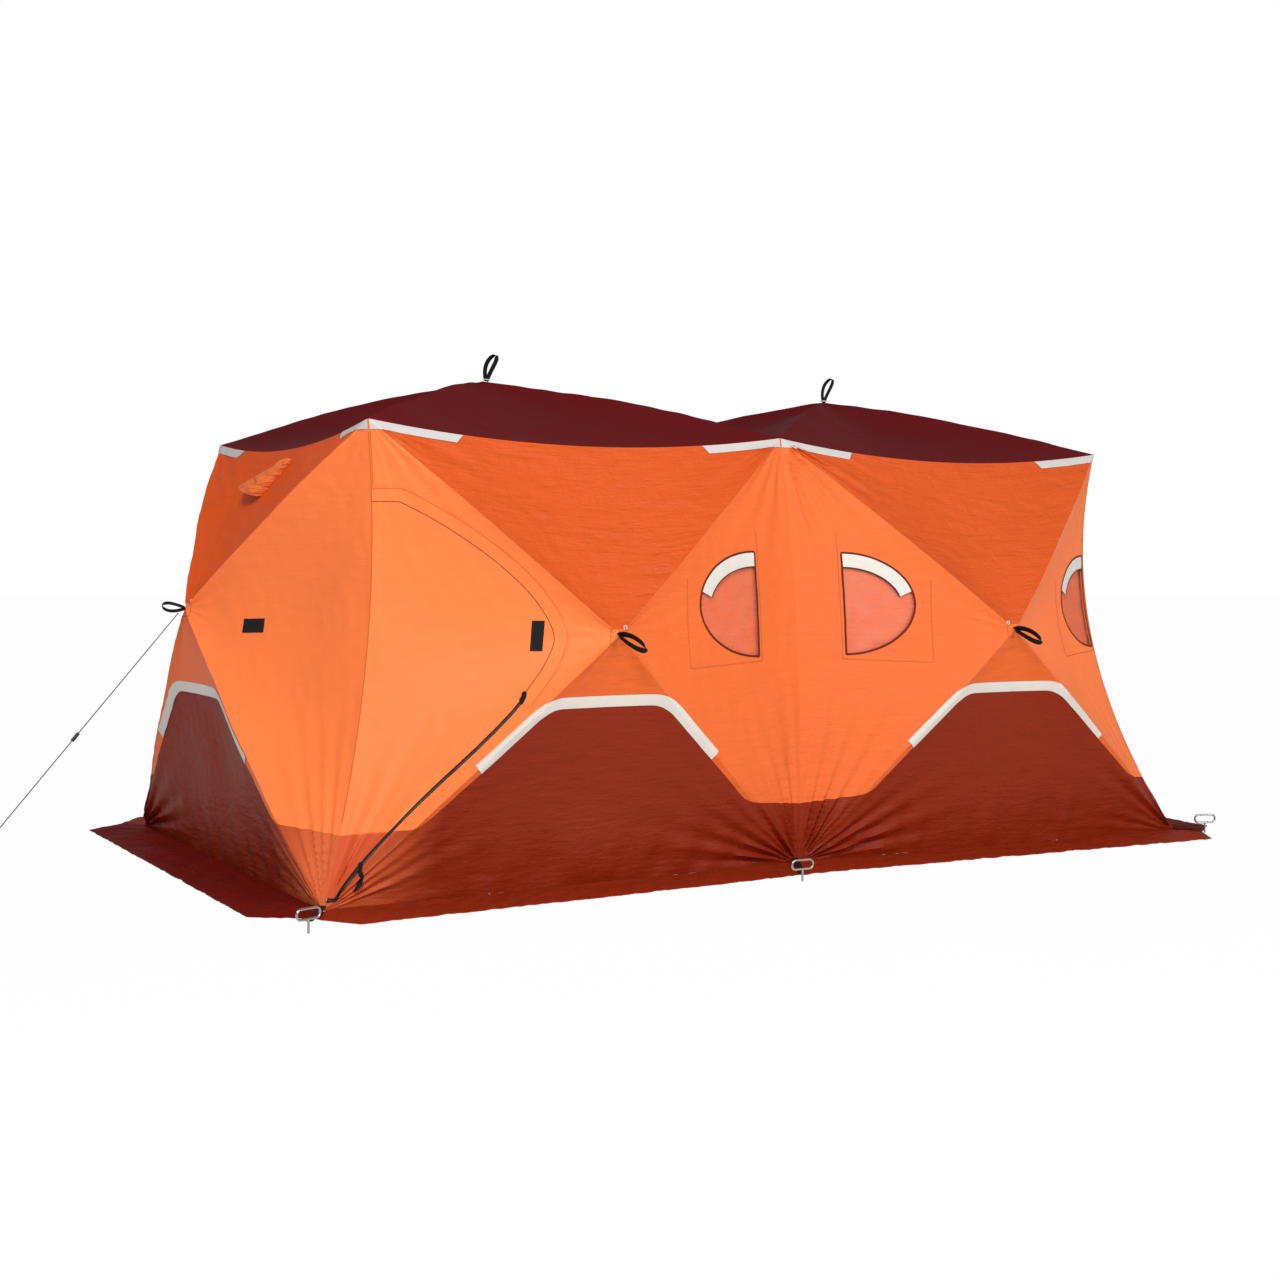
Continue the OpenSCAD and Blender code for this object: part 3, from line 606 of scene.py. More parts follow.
# The lighter rust near the front left corner seam, here and on the left end, is a painted sheen.
rust_cloth_and_sheen = fabric("rust_nylon", RUST, linear("#d05e34"), painted_sheen_near_corner(-1.0), rough=0.44, **SEWN_RUST)
rust_end_and_sheen = fabric("rust_nylon_of_the_ends_with_painted_sheen", RUST, linear("#d8683c"), painted_sheen_near_corner(1.0), shine=0.05, **SEWN_RUST)
rust_plain = fabric("rust_nylon_of_the_far_sides", RUST, rough=0.44, shine=0.12, **SEWN_RUST)
skirt_cloth = fabric("rust_satin_skirt", linear("#8a2a12"), **SATIN)
end_skirt_cloth = fabric("maroon_satin_skirt", linear("#66140c"), **SATIN)
maroon_cloth = fabric("maroon_roof_nylon", linear("#5e1214"), rough=0.6, wrinkle=0.6, shine=0.03)
flap_cloth = fabric("orange_window_flap", linear("#dc5820"), wrinkle=2.0, crease=3.0)
white_tape = fabric("white_reflective_tape", linear("#d4d0c8"), rough=0.35, wrinkle=0.5)
eave_tape = fabric("grey_eave_tape", linear("#c4c1be"), rough=0.4, wrinkle=0.5)
brown_tape = fabric("brown_binding", linear("#5c1e16"))
stitch_look = fabric("rust_stitching", linear("#c8602c"), rough=0.6)
storm_look = fabric("orange_storm_flap", BRIGHT_AND_LIT, wrinkle=1.3)
hood_look = fabric("orange_hood_nylon", linear("#ea743a"), wrinkle=2.0, crease=7.0, depth=0.009)
black_webbing = fabric("black_webbing", linear("#1a1a1c"), rough=0.7, grain=12)
black_mesh = fabric("black_mesh", linear("#0c0a0a"), rough=0.8)
print("fabrics", len(bpy.data.materials))

# %% [markdown]
# ## Film, wire, plastic and glass fibre
# The window film is clear vinyl that has hazed a little. The anchors are bright plated
# wire, the poles dark glass fibre, and the hubs moulded black plastic. Small marks from
# use change their shine and never their shape.

# %% Hard and clear materials
def hard(name, colour, metal=0.0, rough=0.4, coat=0.0, fine=60.0):
    """Hard surface in object space: worn patches change colour and roughness a little."""
    made, shader, root = start_material(name)
    spot = root.add("ShaderNodeTexCoord", output=3)
    worn = spot.noise(fine, 4)
    shader.inputs["Metallic"].default_value = metal
    shader.inputs["Coat Weight"].default_value = coat
    worn.mix(tuple(c * 0.82 for c in colour[:3]) + (1,), colour).into(shader, "Base Color")
    (worn * 0.2 + (rough - 0.1)).into(shader, "Roughness")
    worn.bump(0.3, 0.0005).into(shader, "Normal")
    return made


film_look, film_shader, film_root = start_material("clear_window_film")
film_spot = film_root.add("ShaderNodeUVMap", {"uv_map": "cloth"})
film_shader.inputs["Base Color"].default_value = (0.80, 0.62, 0.50, 1)
haze = film_spot.noise(14, 3)
(haze * 0.08 + 0.02).into(film_shader, "Alpha")
(haze * 0.1 + 0.1).into(film_shader, "Roughness")
film_spot.noise(11, 2).bump(0.6, 0.004).into(film_shader, "Normal")
wire_look = hard("bright_plated_wire", (0.40, 0.39, 0.37, 1), metal=1.0, rough=0.25)
cord_look = hard("black_cord", (0.02, 0.02, 0.022, 1), rough=0.7, fine=300)
plastic_look = hard("black_plastic", (0.018, 0.018, 0.02, 1), rough=0.45)
fibre_look = hard("dark_glass_fibre", (0.06, 0.055, 0.05, 1), rough=0.35, coat=0.3, fine=120)
print("materials", len(bpy.data.materials))

# %% [markdown]
# ## Outlines
# The rust band, the door and the windows are drawn on the wall as heights over the
# distance across. The band's upper edge is flat round the hub and slopes down its legs.
# The door is a D lying on the corner seam, and each window a half ellipse.

# %% Outlines
def smooth_min(a, b, k):
    """The smaller of two, with the corner rounded over k."""
    return np.minimum(a, b) - np.maximum(k - np.abs(a - b), 0) ** 2 / (4 * k)


def lower_edge(a):
    """Upper edge of the rust band."""
    leg = BAND_TOP - LEG_SLOPE * (np.abs(a) - BAND_HALF)
    low = BAND_LOW - LOW_SLOPE * np.maximum(0, np.abs(a) - LOW_FROM)
    return smooth_min(BAND_TOP, -smooth_min(-leg, -low, 0.04), 0.05)


DOOR_TIP, DOOR_MIDDLE, GAP = -0.243, 0.965, 0.008
GAP_SHARE = GAP / WIDE
DOOR_FOOT = 0.045
TIP = DOOR_TIP + GAP_SHARE


def door_share(a):
    """How far across the door, from the seam to its tip."""
    return np.clip((a + 1) / (DOOR_TIP + 1), 0, 1)


def door_high(a):
    """Upper edge of the door."""
    return np.minimum(1.49, DOOR_MIDDLE + 0.565 * (1 - door_share(a) ** 1.17) ** 0.655)


def door_low(a):
    """Lower edge of the door."""
    return np.maximum(DOOR_FOOT, DOOR_MIDDLE - 1.07 * (1 - door_share(a) ** 0.49) ** 0.62)


def doorway_high(a):
    """Upper edge of the slot over the door."""
    return door_high(a - GAP_SHARE) + GAP * 0.8


def doorway_low(a):
    """Lower edge of the slot under the door."""
    return door_low(a - GAP_SHARE) - GAP * 0.8


WINDOW_Z, WINDOW_HALF = 1.092, 0.2125
MIDDLE_WINDOW, CORNER_WINDOW = (0.455, 0.775), (-0.68, -0.97)


def window_half(a, window):
    """Half height of a window: an ellipse from its bow to its straight edge."""
    u = np.clip((window[1] - a) / (window[1] - window[0]), 0, 1)
    return WINDOW_HALF * np.sqrt(1 - u * u)


def columns(count, *windows, door=False):
    """Column places from seam to seam, closer towards the seams, with those of the openings."""
    t = np.linspace(-1, 1, count)
    base = 1.25 * t - 0.25 * t ** 3
    turn = np.sin(np.linspace(0, np.pi / 2, 15))
    special = [w[1] + (w[0] - w[1]) * turn for w in windows]
    if door:
        special += [TIP - 0.12 * (1 - turn), DOOR_TIP - 0.12 * (1 - turn)]
    special = np.concatenate(special + [np.array([-1.0, 0.0, 1.0])])
    near = np.abs(base[:, None] - special).min(1) < 0.004
    return np.unique(np.concatenate([base[~near], special]).round(6))


FINE, COARSE = 140, 76
BOTH = MIDDLE_WINDOW, CORNER_WINDOW
AS = {
    "front_left": columns(FINE, MIDDLE_WINDOW, door=True), "front_right": columns(FINE, *BOTH),
    "back_left": columns(COARSE, *BOTH), "back_right": columns(COARSE, *BOTH),
    "left_end": columns(FINE), "right_end": columns(COARSE),
}
print("columns", {k: len(v) for k, v in AS.items()})

# %% [markdown]
# ## Wall panels
# Each wall is an upper panel over its hub, two half panels that run to the seams, and a
# lower panel in the rust band. A panel's rows go from its lower to its upper edge, and
# they part round a window or the doorway. Each one is a sheet stretched over the poles,
# and its flat cut is measured along the cloth.

# %% Panel builder
def panel(wall_key, name, cols, low, high, rows, material, hole=None, slot="orange_fabric",
          body="shelter", shown=True):
    """One panel as a sheet: hole gives its lower and upper edge, and where its cells go."""
    wall, cols = WALLS[wall_key], np.asarray(cols)
    lows, highs = low(cols), high(cols)
    ridge = np.clip(wall.height(-np.abs(cols)), lows, highs)
    if hole is None:
        steps = [(lows, ridge, 0.45), (ridge, highs, 0.65)]
    else:
        b0, b1 = np.clip(hole[0](cols), ridge, highs), np.clip(hole[1](cols), ridge, highs)
        steps = [(lows, ridge, 0.25), (ridge, b0, 0.3), (b0, b1, 0.35), (b1, highs, 0.4)]
    if (ridge <= lows + 1e-9).all():
        steps = steps[1:] if hole else [(low_row, high_row, n / 0.65) for low_row, high_row, n in steps[1:]]
    counts = [max(2, int(rows * n)) for _, _, n in steps]
    shares = [np.linspace(0, 1, n + 1)[:, None] for n in counts]
    bands = [a0 * (1 - t) + a1 * t for (a0, a1, _), t in zip(steps, shares)]
    z = np.concatenate([bands[0]] + [band[1:] for band in bands[1:]])
    keep = np.ones((len(z) - 1, len(cols) - 1), bool)
    if hole is not None:
        start = sum(counts[:-2])
        keep[start:start + counts[-2], hole[2]((cols[1:] + cols[:-1]) / 2)] = False
    a = np.broadcast_to(cols, z.shape)
    outer, inner = wall.point(a, z, 0.0), wall.point(a, z, -CLOTH_T)
    built = grid_part(outer, inner, np.stack([a, z], -1), keep, wall.turned)
    obj = piece(name.replace("_panel", "_nylon"), [built], material, [name] if shown else [], body)
    tall, wide = cloth_size(outer)
    area = cloth_area(outer, keep)
    tall = min(tall, area / (LEAST_SHARE * wide))
    FLAT[name] = (obj, tall, wide, within_box(area, tall, wide))
    return obj


def split(low, high, z):
    """Where a column without an opening parts: at z, kept off its ends."""
    return np.clip(z, 0.7 * low + 0.3 * high, 0.3 * low + 0.7 * high)


def window_hole(wall, window):
    """Edges of a window over all columns: closed before its bow, full beyond its straight edge."""
    sign = np.sign(window[1])

    def edge(cols, way):
        half = np.where((window[1] - cols) * sign > 0, window_half(cols, window), WINDOW_HALF)
        return np.where(half > 1e-6, WINDOW_Z + way * half, split(lower_edge(cols), wall.pole(cols), WINDOW_Z))

    inside = lambda m: ((m - window[0]) * sign > 0) & ((m - window[1]) * sign < 0)
    return (lambda c: edge(c, -1)), (lambda c: edge(c, 1)), inside


def door_hole(wall):
    """Edges of the doorway over all columns: closed beyond its tip."""
    def edge(cols, way):
        shut = split(lower_edge(cols), wall.pole(cols), DOOR_MIDDLE)
        return np.where(cols < TIP - 1e-6, way(cols), shut)

    low = lambda c: np.maximum(edge(c, doorway_low), lower_edge(c))
    return low, (lambda c: edge(c, doorway_high)), (lambda m: m < TIP)


def rust_by_door(a):
    """Upper edge of the rust panel that the doorway cuts into."""
    return np.where(a < -0.4, np.minimum(lower_edge(a), doorway_low(a)), lower_edge(a))


FLAT, LEAST_SHARE = {}, 0.31
print("panel builder ready")

# %% [markdown]
# ## The panels of every wall
# Every wall gets its panels from the same builder, so that neighbours share a seam to the
# last point. The door is one more panel, a D cut from the same surface, made as an object
# of its own.

# %% Wall panels
for key, wall in WALLS.items():
    cols = AS[key]
    near, far = cols[cols <= 0], cols[cols >= 0]
    upper, half, lower = (52, 104, 48) if len(cols) > 100 else (26, 48, 24)
    foot, eave = (lambda c: np.full_like(c, FOOT)), (lambda c: np.full_like(c, EAVE))
    add = lambda part, *how, k=key, **more: panel(k, f"{k}_{part}_panel", *how, **more)
    has_door = key == "front_left"
    rust_look = {"front_left": rust_cloth_and_sheen, "left_end": rust_end_and_sheen}.get(key, rust_plain)
    add("upper", cols, wall.pole, eave, upper, deep_end_and_shade if wall.end else deep_orange_and_shade)
    add("lower", cols, foot, rust_by_door if has_door else lower_edge, lower, rust_look, slot="rust_fabric")
    if wall.end:
        add("back", near, lower_edge, wall.pole, half, bright_end_and_lit)
        add("front", far, lower_edge, wall.pole, half, bright_end_and_lit)
        continue
    add("middle", far, lower_edge, wall.pole, half, middle_orange, window_hole(wall, MIDDLE_WINDOW))
    opening = door_hole(wall) if has_door else window_hole(wall, CORNER_WINDOW)
    add("corner", near, lower_edge, wall.pole, half, bright_side_and_lit, opening)

door_cols = AS["front_left"][AS["front_left"] <= DOOR_TIP + 1e-6]
door_cloth = panel("front_left", "door_cloth", door_cols, door_low, door_high, 100, door_cloth_look,
                   body=None, shown=False)
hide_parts("door")
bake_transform(door_cloth)
print({name: (round(w, 2), round(h, 2), round(area, 2)) for name, (_, w, h, area) in FLAT.items()})

# %% [markdown]
# ## Roofs
# Each roof is one sheet over its own hub. Its rings run from the hub out to the four
# edges: front eave, valley, back eave and end eave. The eaves sag between the corners
# just as the walls' tops do, so the two meet.

# %% Roofs
def eave_edge(q, end):
    """Top edge of a side or an end wall, with its sag."""
    return WALLS["left_end" if end else "front_left"].surface(q, np.full_like(q, EAVE))


ROOF_SLACK = 1.03


def roof(name, flip, cols_front, cols_back, cols_end, rings, seed):
    """Roof sheet: hub plus m of the way to the edge, with the stand-out and soft waves."""
    qs = [cols_front[:-1], np.linspace(-1, 1, 80)[:-1], -cols_back[::-1][:-1], cols_end[:-1]]
    q = np.concatenate(qs)
    side = np.repeat(np.arange(4), [len(v) for v in qs])
    back_edge = eave_edge(-qs[2], False) * (1, -1, 1)
    valley_y = -qs[1] * middle_seam(np.array(EAVE))[1]
    valley = np.stack([0 * qs[1], valley_y, EAVE - VALLEY_SAG * (1 - qs[1] ** 2)], -1)
    edge = np.concatenate([eave_edge(qs[0], False), valley, back_edge, eave_edge(qs[3], True)])
    corner = ramp(q)
    toward = np.choose(side[:, None], [
        np.stack([np.where(q < 0, corner, 0), 1 + 0 * q], -1), np.stack([0 * q, -np.sign(q) * corner], -1),
        np.stack([np.where(q > 0, corner, 0), -1 + 0 * q], -1), np.stack([1 + 0 * q, np.sign(q) * corner], -1)])
    q, edge, toward = (np.concatenate([v, v[:1]]) for v in (q, edge, toward))
    m = np.linspace(0, 1, rings + 1)[:, None, None]
    outer = ROOF_HUB + m * (edge - ROOF_HUB)
    stand = 4 * m[..., 0] * (1 - m[..., 0]) * (POLE_BOW - PANEL_DISH * (1 - q * q))
    fade = ease((1 - m[..., 0]) / 0.06)
    x, y = outer[..., 0], outer[..., 1]
    soft, small = waves(x / 0.6, y / 0.6, seed), waves(x / 0.13, y / 0.13, seed + 1)
    stand = stand + fade * (0.004 * soft + 0.0012 * small)
    stand = stand + fade * 0.003 * fan(x - ROOF_HUB[0], y, 0.2, 10, seed + 2)
    outer[..., 2] += stand
    inner = outer.copy()
    inner[..., :2] += CLOTH_T * ramp(m[..., 0])[..., None] * toward
    inner[..., 2] -= CLOTH_T
    scale = np.array([flip[0], flip[1], 1])
    built = grid_part(outer * scale, inner * scale, outer[..., :2].copy(), None, flip[0] * flip[1] > 0)
    obj = piece(name + "_nylon", [built], maroon_cloth, [name])
    width, length = (float(np.ptp(outer[..., i]) * ROOF_SLACK) for i in (0, 1))
    FLAT[name] = (obj, width, length, None)


roof("left_roof", (1, 1), AS["front_left"], AS["back_left"], AS["left_end"], 60, 200)
roof("right_roof", (-1, 1), AS["front_right"], AS["back_right"], AS["right_end"], 60, 220)
print("roofs", FLAT["left_roof"][1:3])

# %% [markdown]
# ## Tapes and bindings
# Reflective tape, bindings, the storm flap and the zip are narrow strips sewn on the
# cloth. Each follows a path over the wall, a few tenths of a millimetre above it, with
# its width laid out along the cloth and its middle a little thicker than its edges.

# %% Strip builder
def resample(path, step):
    """The same path with points a step apart, measured along it."""
    path = np.asarray(path, float)
    far = np.concatenate([[0], np.cumsum(np.linalg.norm(np.diff(path, axis=0), axis=1))])
    at = np.linspace(0, far[-1], max(3, int(far[-1] / step) + 1))
    return np.stack([np.interp(at, far, path[:, i]) for i in range(path.shape[1])], -1), at


SEAM_LIMIT = 0.9995


def strip(wall_key, path, width, thick, lift, across=5, step=0.012, shift=0.0, round_ends=False,
          slant=0.0):
    """Closed strip along a path of (across, height) on a wall, shifted to the path's left by shift."""
    wall = WALLS[wall_key]
    size = np.array([wall.width, 1.0])
    line, at = resample(np.asarray(path, float) * size, step)
    way = np.gradient(line, axis=0)
    way /= np.maximum(np.linalg.norm(way, axis=1, keepdims=True), 1e-9)
    left = np.stack([-way[:, 1], way[:, 0]], -1)
    share = np.linspace(-1, 1, across)
    wide = np.full(len(at), width / 2)
    if round_ends:
        end = np.minimum(at, at[-1] - at)
        rest = 1 - np.clip(end / (width / 2), 0.08, 1)
        wide = wide * np.sqrt(np.clip(1 - rest ** 2, 0.05, 1))
    spot = line[:, None] + left[:, None] * (shift + share[None, :, None] * wide[:, None, None])
    spot = (spot + way[:, None] * (slant * share[None, :, None] * (at / at[-1])[:, None, None])) / size
    a, z = np.clip(spot[..., 0], -SEAM_LIMIT, SEAM_LIMIT), np.clip(spot[..., 1], FOOT, EAVE)
    crown = thick * (0.55 + 0.45 * (1 - share ** 2)) + 0 * a
    outer, inner = wall.point(a, z, lift + crown), wall.point(a, z, lift)
    uv = np.stack([np.broadcast_to(at[:, None], a.shape), 0.5 * width * share + 0 * a], -1)
    return grid_part(outer, inner, uv, None, not wall.turned)


def straight_up(a, low, high, count):
    """Points of a straight line up the wall at one place across."""
    return np.stack([np.full(count, a), np.linspace(low, high, count)], -1)


def curve(function, a0, a1):
    """Points of a height function between two places across."""
    a = np.linspace(a0, a1, 160)
    return np.stack([a, function(a)], -1)


def outline_of_door(part):
    """Door edge from the seam over the top to the tip, or from the tip down to the seam."""
    a = -1 + (DOOR_TIP + 1) * (1 - (1 - np.linspace(0, 1, 400)) ** 3)
    return np.stack([a, door_high(a)], -1) if part == "top" else np.stack([a, door_low(a)], -1)[::-1]


TRIM = {}


def trim(name, owner, parts, material, body="shelter"):
    """Piece that belongs to a sheet, remembered in a list under the sheet's name."""
    TRIM.setdefault(owner, []).append(piece(name, parts, material, body=body))


print("strip builder ready")

# %% [markdown]
# ## Reflective tape and eave strips
# A white tape edges the rust band round each hub and stops part of the way down its
# legs. Short white strips mark the tops of all corners under the eaves.

# %% Reflective tape
for key, wall in WALLS.items():
    band = strip(key, curve(lower_edge, -0.485, 0.485), 0.044, 0.0016, 0.0016, 6, 0.012, 0.021)
    trim(key + "_white_band", key + "_lower_panel", [band], white_tape)
    reach, more = (0.27, 1.4) if wall.end else (0.40, 1)
    under = lambda a: EAVE - 0.022 + 0 * a
    strips = [strip(key, curve(under, start, stop), 0.037, 0.0014, 0.0014, slant=slant)
              for start, stop, slant in ((-0.996, -1 + reach * more, 0.016), (0.996, 1 - reach, -0.016))]
    trim(key + "_eave_strips", key + "_upper_panel", strips, eave_tape)
    low = 1.52 if key == "front_left" else 0.30
    for side, part in ((-1, "_back_panel"), (1, "_front_panel")) if wall.end else ((-1, "_corner_panel"),):
        seam = strip(key, straight_up(side * 0.996, low, 1.74, 60), 0.003, 0.0010, 0.0006, 3)
        trim(key + part + "_seam", key + part, [seam], stitch_look)
print("tapes", sum(len(v) for v in TRIM.values()))

# %% [markdown]
# ## Windows
# Each window is clear film behind a D-shaped opening. A brown binding edges it, a white
# tape lies along its upper curve, and inside hangs a soft orange flap that darkens it at
# night. Fine stitching marks the pocket that holds the flap. ROUND_WIDE is half a wall's
# width in round numbers, which turns a sheet's margin into a share of the way across.

# %% Windows
def window_path(window, grow, upper_only=False):
    """Outline of a window grown by a margin: straight edge, then the bow from top to bottom."""
    s = np.sign(window[1])
    wide = abs(window[1] - window[0]) * WIDE + grow
    turn = np.linspace(np.pi / 2, 0.25 if upper_only else -np.pi / 2, 60)
    a, z = window[1] - s * np.cos(turn) * wide / WIDE, WINDOW_Z + (WINDOW_HALF + grow) * np.sin(turn)
    bow = np.stack([a, z], -1)
    if upper_only:
        return bow
    side = window[1] + s * grow / WIDE * 0.6
    return np.concatenate([[[side, bow[-1, 1]], [side, bow[0, 1]]], bow, [[side, bow[-1, 1]]]])


ROUND_WIDE = 0.99


def window_sheet(wall_key, window, lift, margin, billow, seed):
    """Closed half-ellipse sheet in the window, with soft creases of its own."""
    wall, s = WALLS[wall_key], np.sign(window[1])
    turn = np.linspace(0, np.pi / 2, 26)
    share = s * margin / ROUND_WIDE
    a = window[1] + share + (window[0] - window[1] - 2 * share) * np.sin(turn)
    half = (WINDOW_HALF + margin) * np.cos(turn)
    order = np.argsort(a)
    a, half = a[order], half[order]
    t = np.linspace(-1, 1, 34)[:, None]
    z = WINDOW_Z + t * half
    a = np.broadcast_to(a, z.shape)
    fade = ease((1 - np.abs(t)) / 0.2) * ease(np.abs(a - window[0]) / 0.05)
    crease = billow * fade * (np.abs(waves(a / 0.16, z / 0.16, seed, 5)) - 0.5)
    outer, inner = wall.point(a, z, lift + crease), wall.point(a, z, lift + crease - 0.0018)
    return grid_part(outer, inner, np.stack([a, z], -1), None, wall.turned), outer


WINDOWS = {"front_left": [("middle", MIDDLE_WINDOW)]}
for key in ("front_right", "back_left", "back_right"):
    WINDOWS[key] = [("middle", MIDDLE_WINDOW), ("corner", CORNER_WINDOW)]
FILM, PANES, FLAPS = {"front": [], "back": []}, {"front": [], "back": []}, []
for key, found in WINDOWS.items():
    for kind, window in found:
        s, owner, name = np.sign(window[1]), f"{key}_{kind}_panel", f"{key}_{kind}_window"
        film, pane = window_sheet(key, window, -0.0035, 0.003, 0.0012, 300 + len(FLAPS))
        FILM[key.split("_")[0]].append(film)
        PANES[key.split("_")[0]].append(pane)
        flap_part, face = window_sheet(key, window, -0.014, 0.024, 0.003, 330 + len(FLAPS))
        flap = piece(name + "_flap", [flap_part], flap_cloth)
        FLAPS.append((flap, cloth_size(face), cloth_area(face), owner))
        whole, bow = window_path(window, 0.002), window_path(window, 0.002, True)
        rim = strip(key, whole, 0.008, 0.0028, 0.0008, 5, 0.008)
        piping = strip(key, bow, 0.0045, 0.0030, 0.0008, 3, 0.008, 0.062 * s)
        trim(name + "_binding", owner, [rim, piping], brown_tape)
        tape = strip(key, bow, 0.056, 0.0016, 0.0008, 7, 0.010, 0.032 * s)
        trim(name + "_tape", owner, [tape], white_tape)
        out_a, in_a, below = window[1] + s * 0.018, window[0] - s * 0.075, WINDOW_Z - WINDOW_HALF - 0.022
        pocket = [(in_a, WINDOW_Z + 0.10), (in_a, below - 0.018), (out_a, below), (out_a, WINDOW_Z + 0.30)]
        stitches = strip(key, pocket, 0.0035, 0.0008, 0.0008, 3)
        trim(name + "_pocket_stitching", owner, [stitches], stitch_look)
film_objects = {side: piece(side + "_window_film", films, film_look, [side + "_windows"])
                for side, films in FILM.items()}
print("windows", len(FLAPS))

# %% [markdown]
# ## Door fittings
# A storm flap covers the slot over the top of the door and round its tip. The zip lies
# bare below it and ends in a pull tape at the foot. Two black patches of hook and loop
# tape hold the rolled door: one by the door's tip, and one on the end wall.

# %% Door fittings
over, under = outline_of_door("top"), outline_of_door("low")
flap_path = np.concatenate([over, under[(under[:, 1] > 0.735) & (under[:, 0] > -0.6)]])
def by_door(name, look, path, *shape):
    """Strip sewn on the panel round the door."""
    trim(name, "front_left_corner_panel", [strip("front_left", path, *shape)], look)


by_door("storm_flap", storm_look, flap_path, 0.054, 0.0022, 0.0016, 8, 0.010, 0.019)
# A dark brown line along the flap's edge over the door is a painted shadow under that edge.
by_door("storm_flap_edge_painted_shadow", brown_tape, flap_path, 0.0035, 0.0012, 0.0016, 3, 0.012, -0.008)
by_door("storm_flap_stitching", stitch_look, flap_path, 0.003, 0.0009, 0.0032, 3, 0.012, 0.040)
zip_path = under[(under[:, 1] < 0.745) & (under[:, 0] > -SEAM_LIMIT)]
by_door("zip_tape", black_webbing, zip_path, 0.013, 0.0016, 0.0014, 5, 0.012, 0.004)
by_door("zip_teeth", plastic_look, zip_path, 0.005, 0.0022, 0.0030, 3, 0.012, 0.004)
tab = [zip_path[0] + (-0.008, -0.018), zip_path[0] + (0.003, 0.008), zip_path[0] + (0.004, 0.028)]
by_door("zip_stop", black_webbing, tab, 0.018, 0.0030, 0.0044, 5, 0.006, 0, True)
pull = [(-0.902, 0.170), (-0.892, 0.140), (-0.880, 0.118), (-0.884, 0.095), (-0.900, 0.070)]
by_door("zip_pull_tape", black_webbing, pull, 0.015, 0.0030, 0.0060, 5, 0.006, 0, True)
patch = strip("front_left", straight_up(-0.322, 0.920, 1.034, 30), 0.050, 0.0022, 0.0014, 8, 0.010)
trim("door_patch", "door_cloth", [patch], black_webbing, "door")
end_patch = strip("left_end", [(0.325, 0.996), (0.431, 1.000)], 0.055, 0.0022, 0.0014, 8, 0.010)
trim("end_patch", "left_end_front_panel", [end_patch], black_webbing)
print("door pieces", len(TRIM["front_left_corner_panel"]))

# %% [markdown]
# ## Pull loops
# A webbing loop stands on each hub to pull it out or push it in. It is sewn down under
# a square patch, and a white grommet sits by its root. The loop is a flat band bent
# round in a long teardrop, so its section is carried along a closed path.

# %% Pull loops
def carried(path, side, width, thick, closed=False):
    """Flat band along a path: its width along side and its thickness across both."""
    way = np.roll(path, -1, 0) - np.roll(path, 1, 0) if closed else np.gradient(path, axis=0)
    way /= np.linalg.norm(way, axis=1, keepdims=True)
    side = np.broadcast_to(side, path.shape)
    side = side - way * (side * way).sum(1, keepdims=True)
    side = side / np.linalg.norm(side, axis=1, keepdims=True)
    face = np.cross(way, side)
    share = np.linspace(-1, 1, 6)
    crown = thick / 2 * (0.6 + 0.4 * (1 - share ** 2))
    middle = path[:, None] + side[:, None] * (share * width / 2)[None, :, None]
    rise = face[:, None] * crown[None, :, None]
    outer, inner = middle + rise, middle - rise
    if closed:
        outer, inner = np.concatenate([outer, outer[:1]]), np.concatenate([inner, inner[:1]])
        path = np.concatenate([path, path[:1]])
    far = np.concatenate([[0], np.cumsum(np.linalg.norm(np.diff(path, axis=0), axis=1))])
    uv = np.stack(np.broadcast_arrays(far[:, None], share * width / 2), -1)
    return grid_part(outer, inner, uv)


def teardrop(root, out, lean, spread, width):
    """Closed loop from its root along out, leaning by lean at its far end and swelling along spread."""
    t = np.linspace(0, 2 * np.pi, 61)[:-1]
    far = 0.5 - 0.5 * np.cos(t)
    swell = width / 2 * np.sin(t) * (0.35 + 0.65 * far)
    main = out + lean
    spread = unit(spread - main * (spread @ main) / (main @ main))
    path = root + np.outer(far, out) + np.outer(far ** 2, lean) + np.outer(swell, spread)
    return path, np.cross(main, spread)


def ring_part(centre, normal, radius, wire):
    """Closed ring of round wire about a normal."""
    normal = unit(np.asarray(normal, float))
    u = unit(np.cross(normal, (0.3, 0.2, 0.9)))
    v = np.cross(normal, u)
    t, s = np.linspace(0, 2 * np.pi, 37), np.linspace(0, 2 * np.pi, 11)
    spoke = np.cos(t)[:, None] * u + np.sin(t)[:, None] * v
    reach, rise = (radius + wire * np.cos(s))[None, :, None], (wire * np.sin(s))[None, :, None]
    return tube_part(centre + spoke[:, None] * reach + normal * rise)


def tube_part(grid):
    """Mesh of a closed grid whose two ends meet or are points: welded, faces outwards."""
    flat = grid.reshape(-1, 3)
    first, quads, tris = welded(grid_cells(*grid.shape[:2]).reshape(-1, 4), flat)
    points = flat[first]
    fans = np.concatenate([quads[:, [0, 1, 2]], quads[:, [0, 2, 3]], tris])
    volume = (points[fans[:, 0]] * np.cross(points[fans[:, 1]], points[fans[:, 2]])).sum()
    if volume < 0:
        quads, tris = quads[:, ::-1], tris[:, ::-1]
    return points, quads, tris, points[:, :2].copy()


def webbing_loop(root, out, lean, spread, width, tilt):
    """Pull loop of webbing, its band tilted a little from the loop's own plane."""
    path, side = teardrop(root, out, lean, spread, width)
    return carried(path, unit(side) + tilt, 0.024, 0.0034, True)


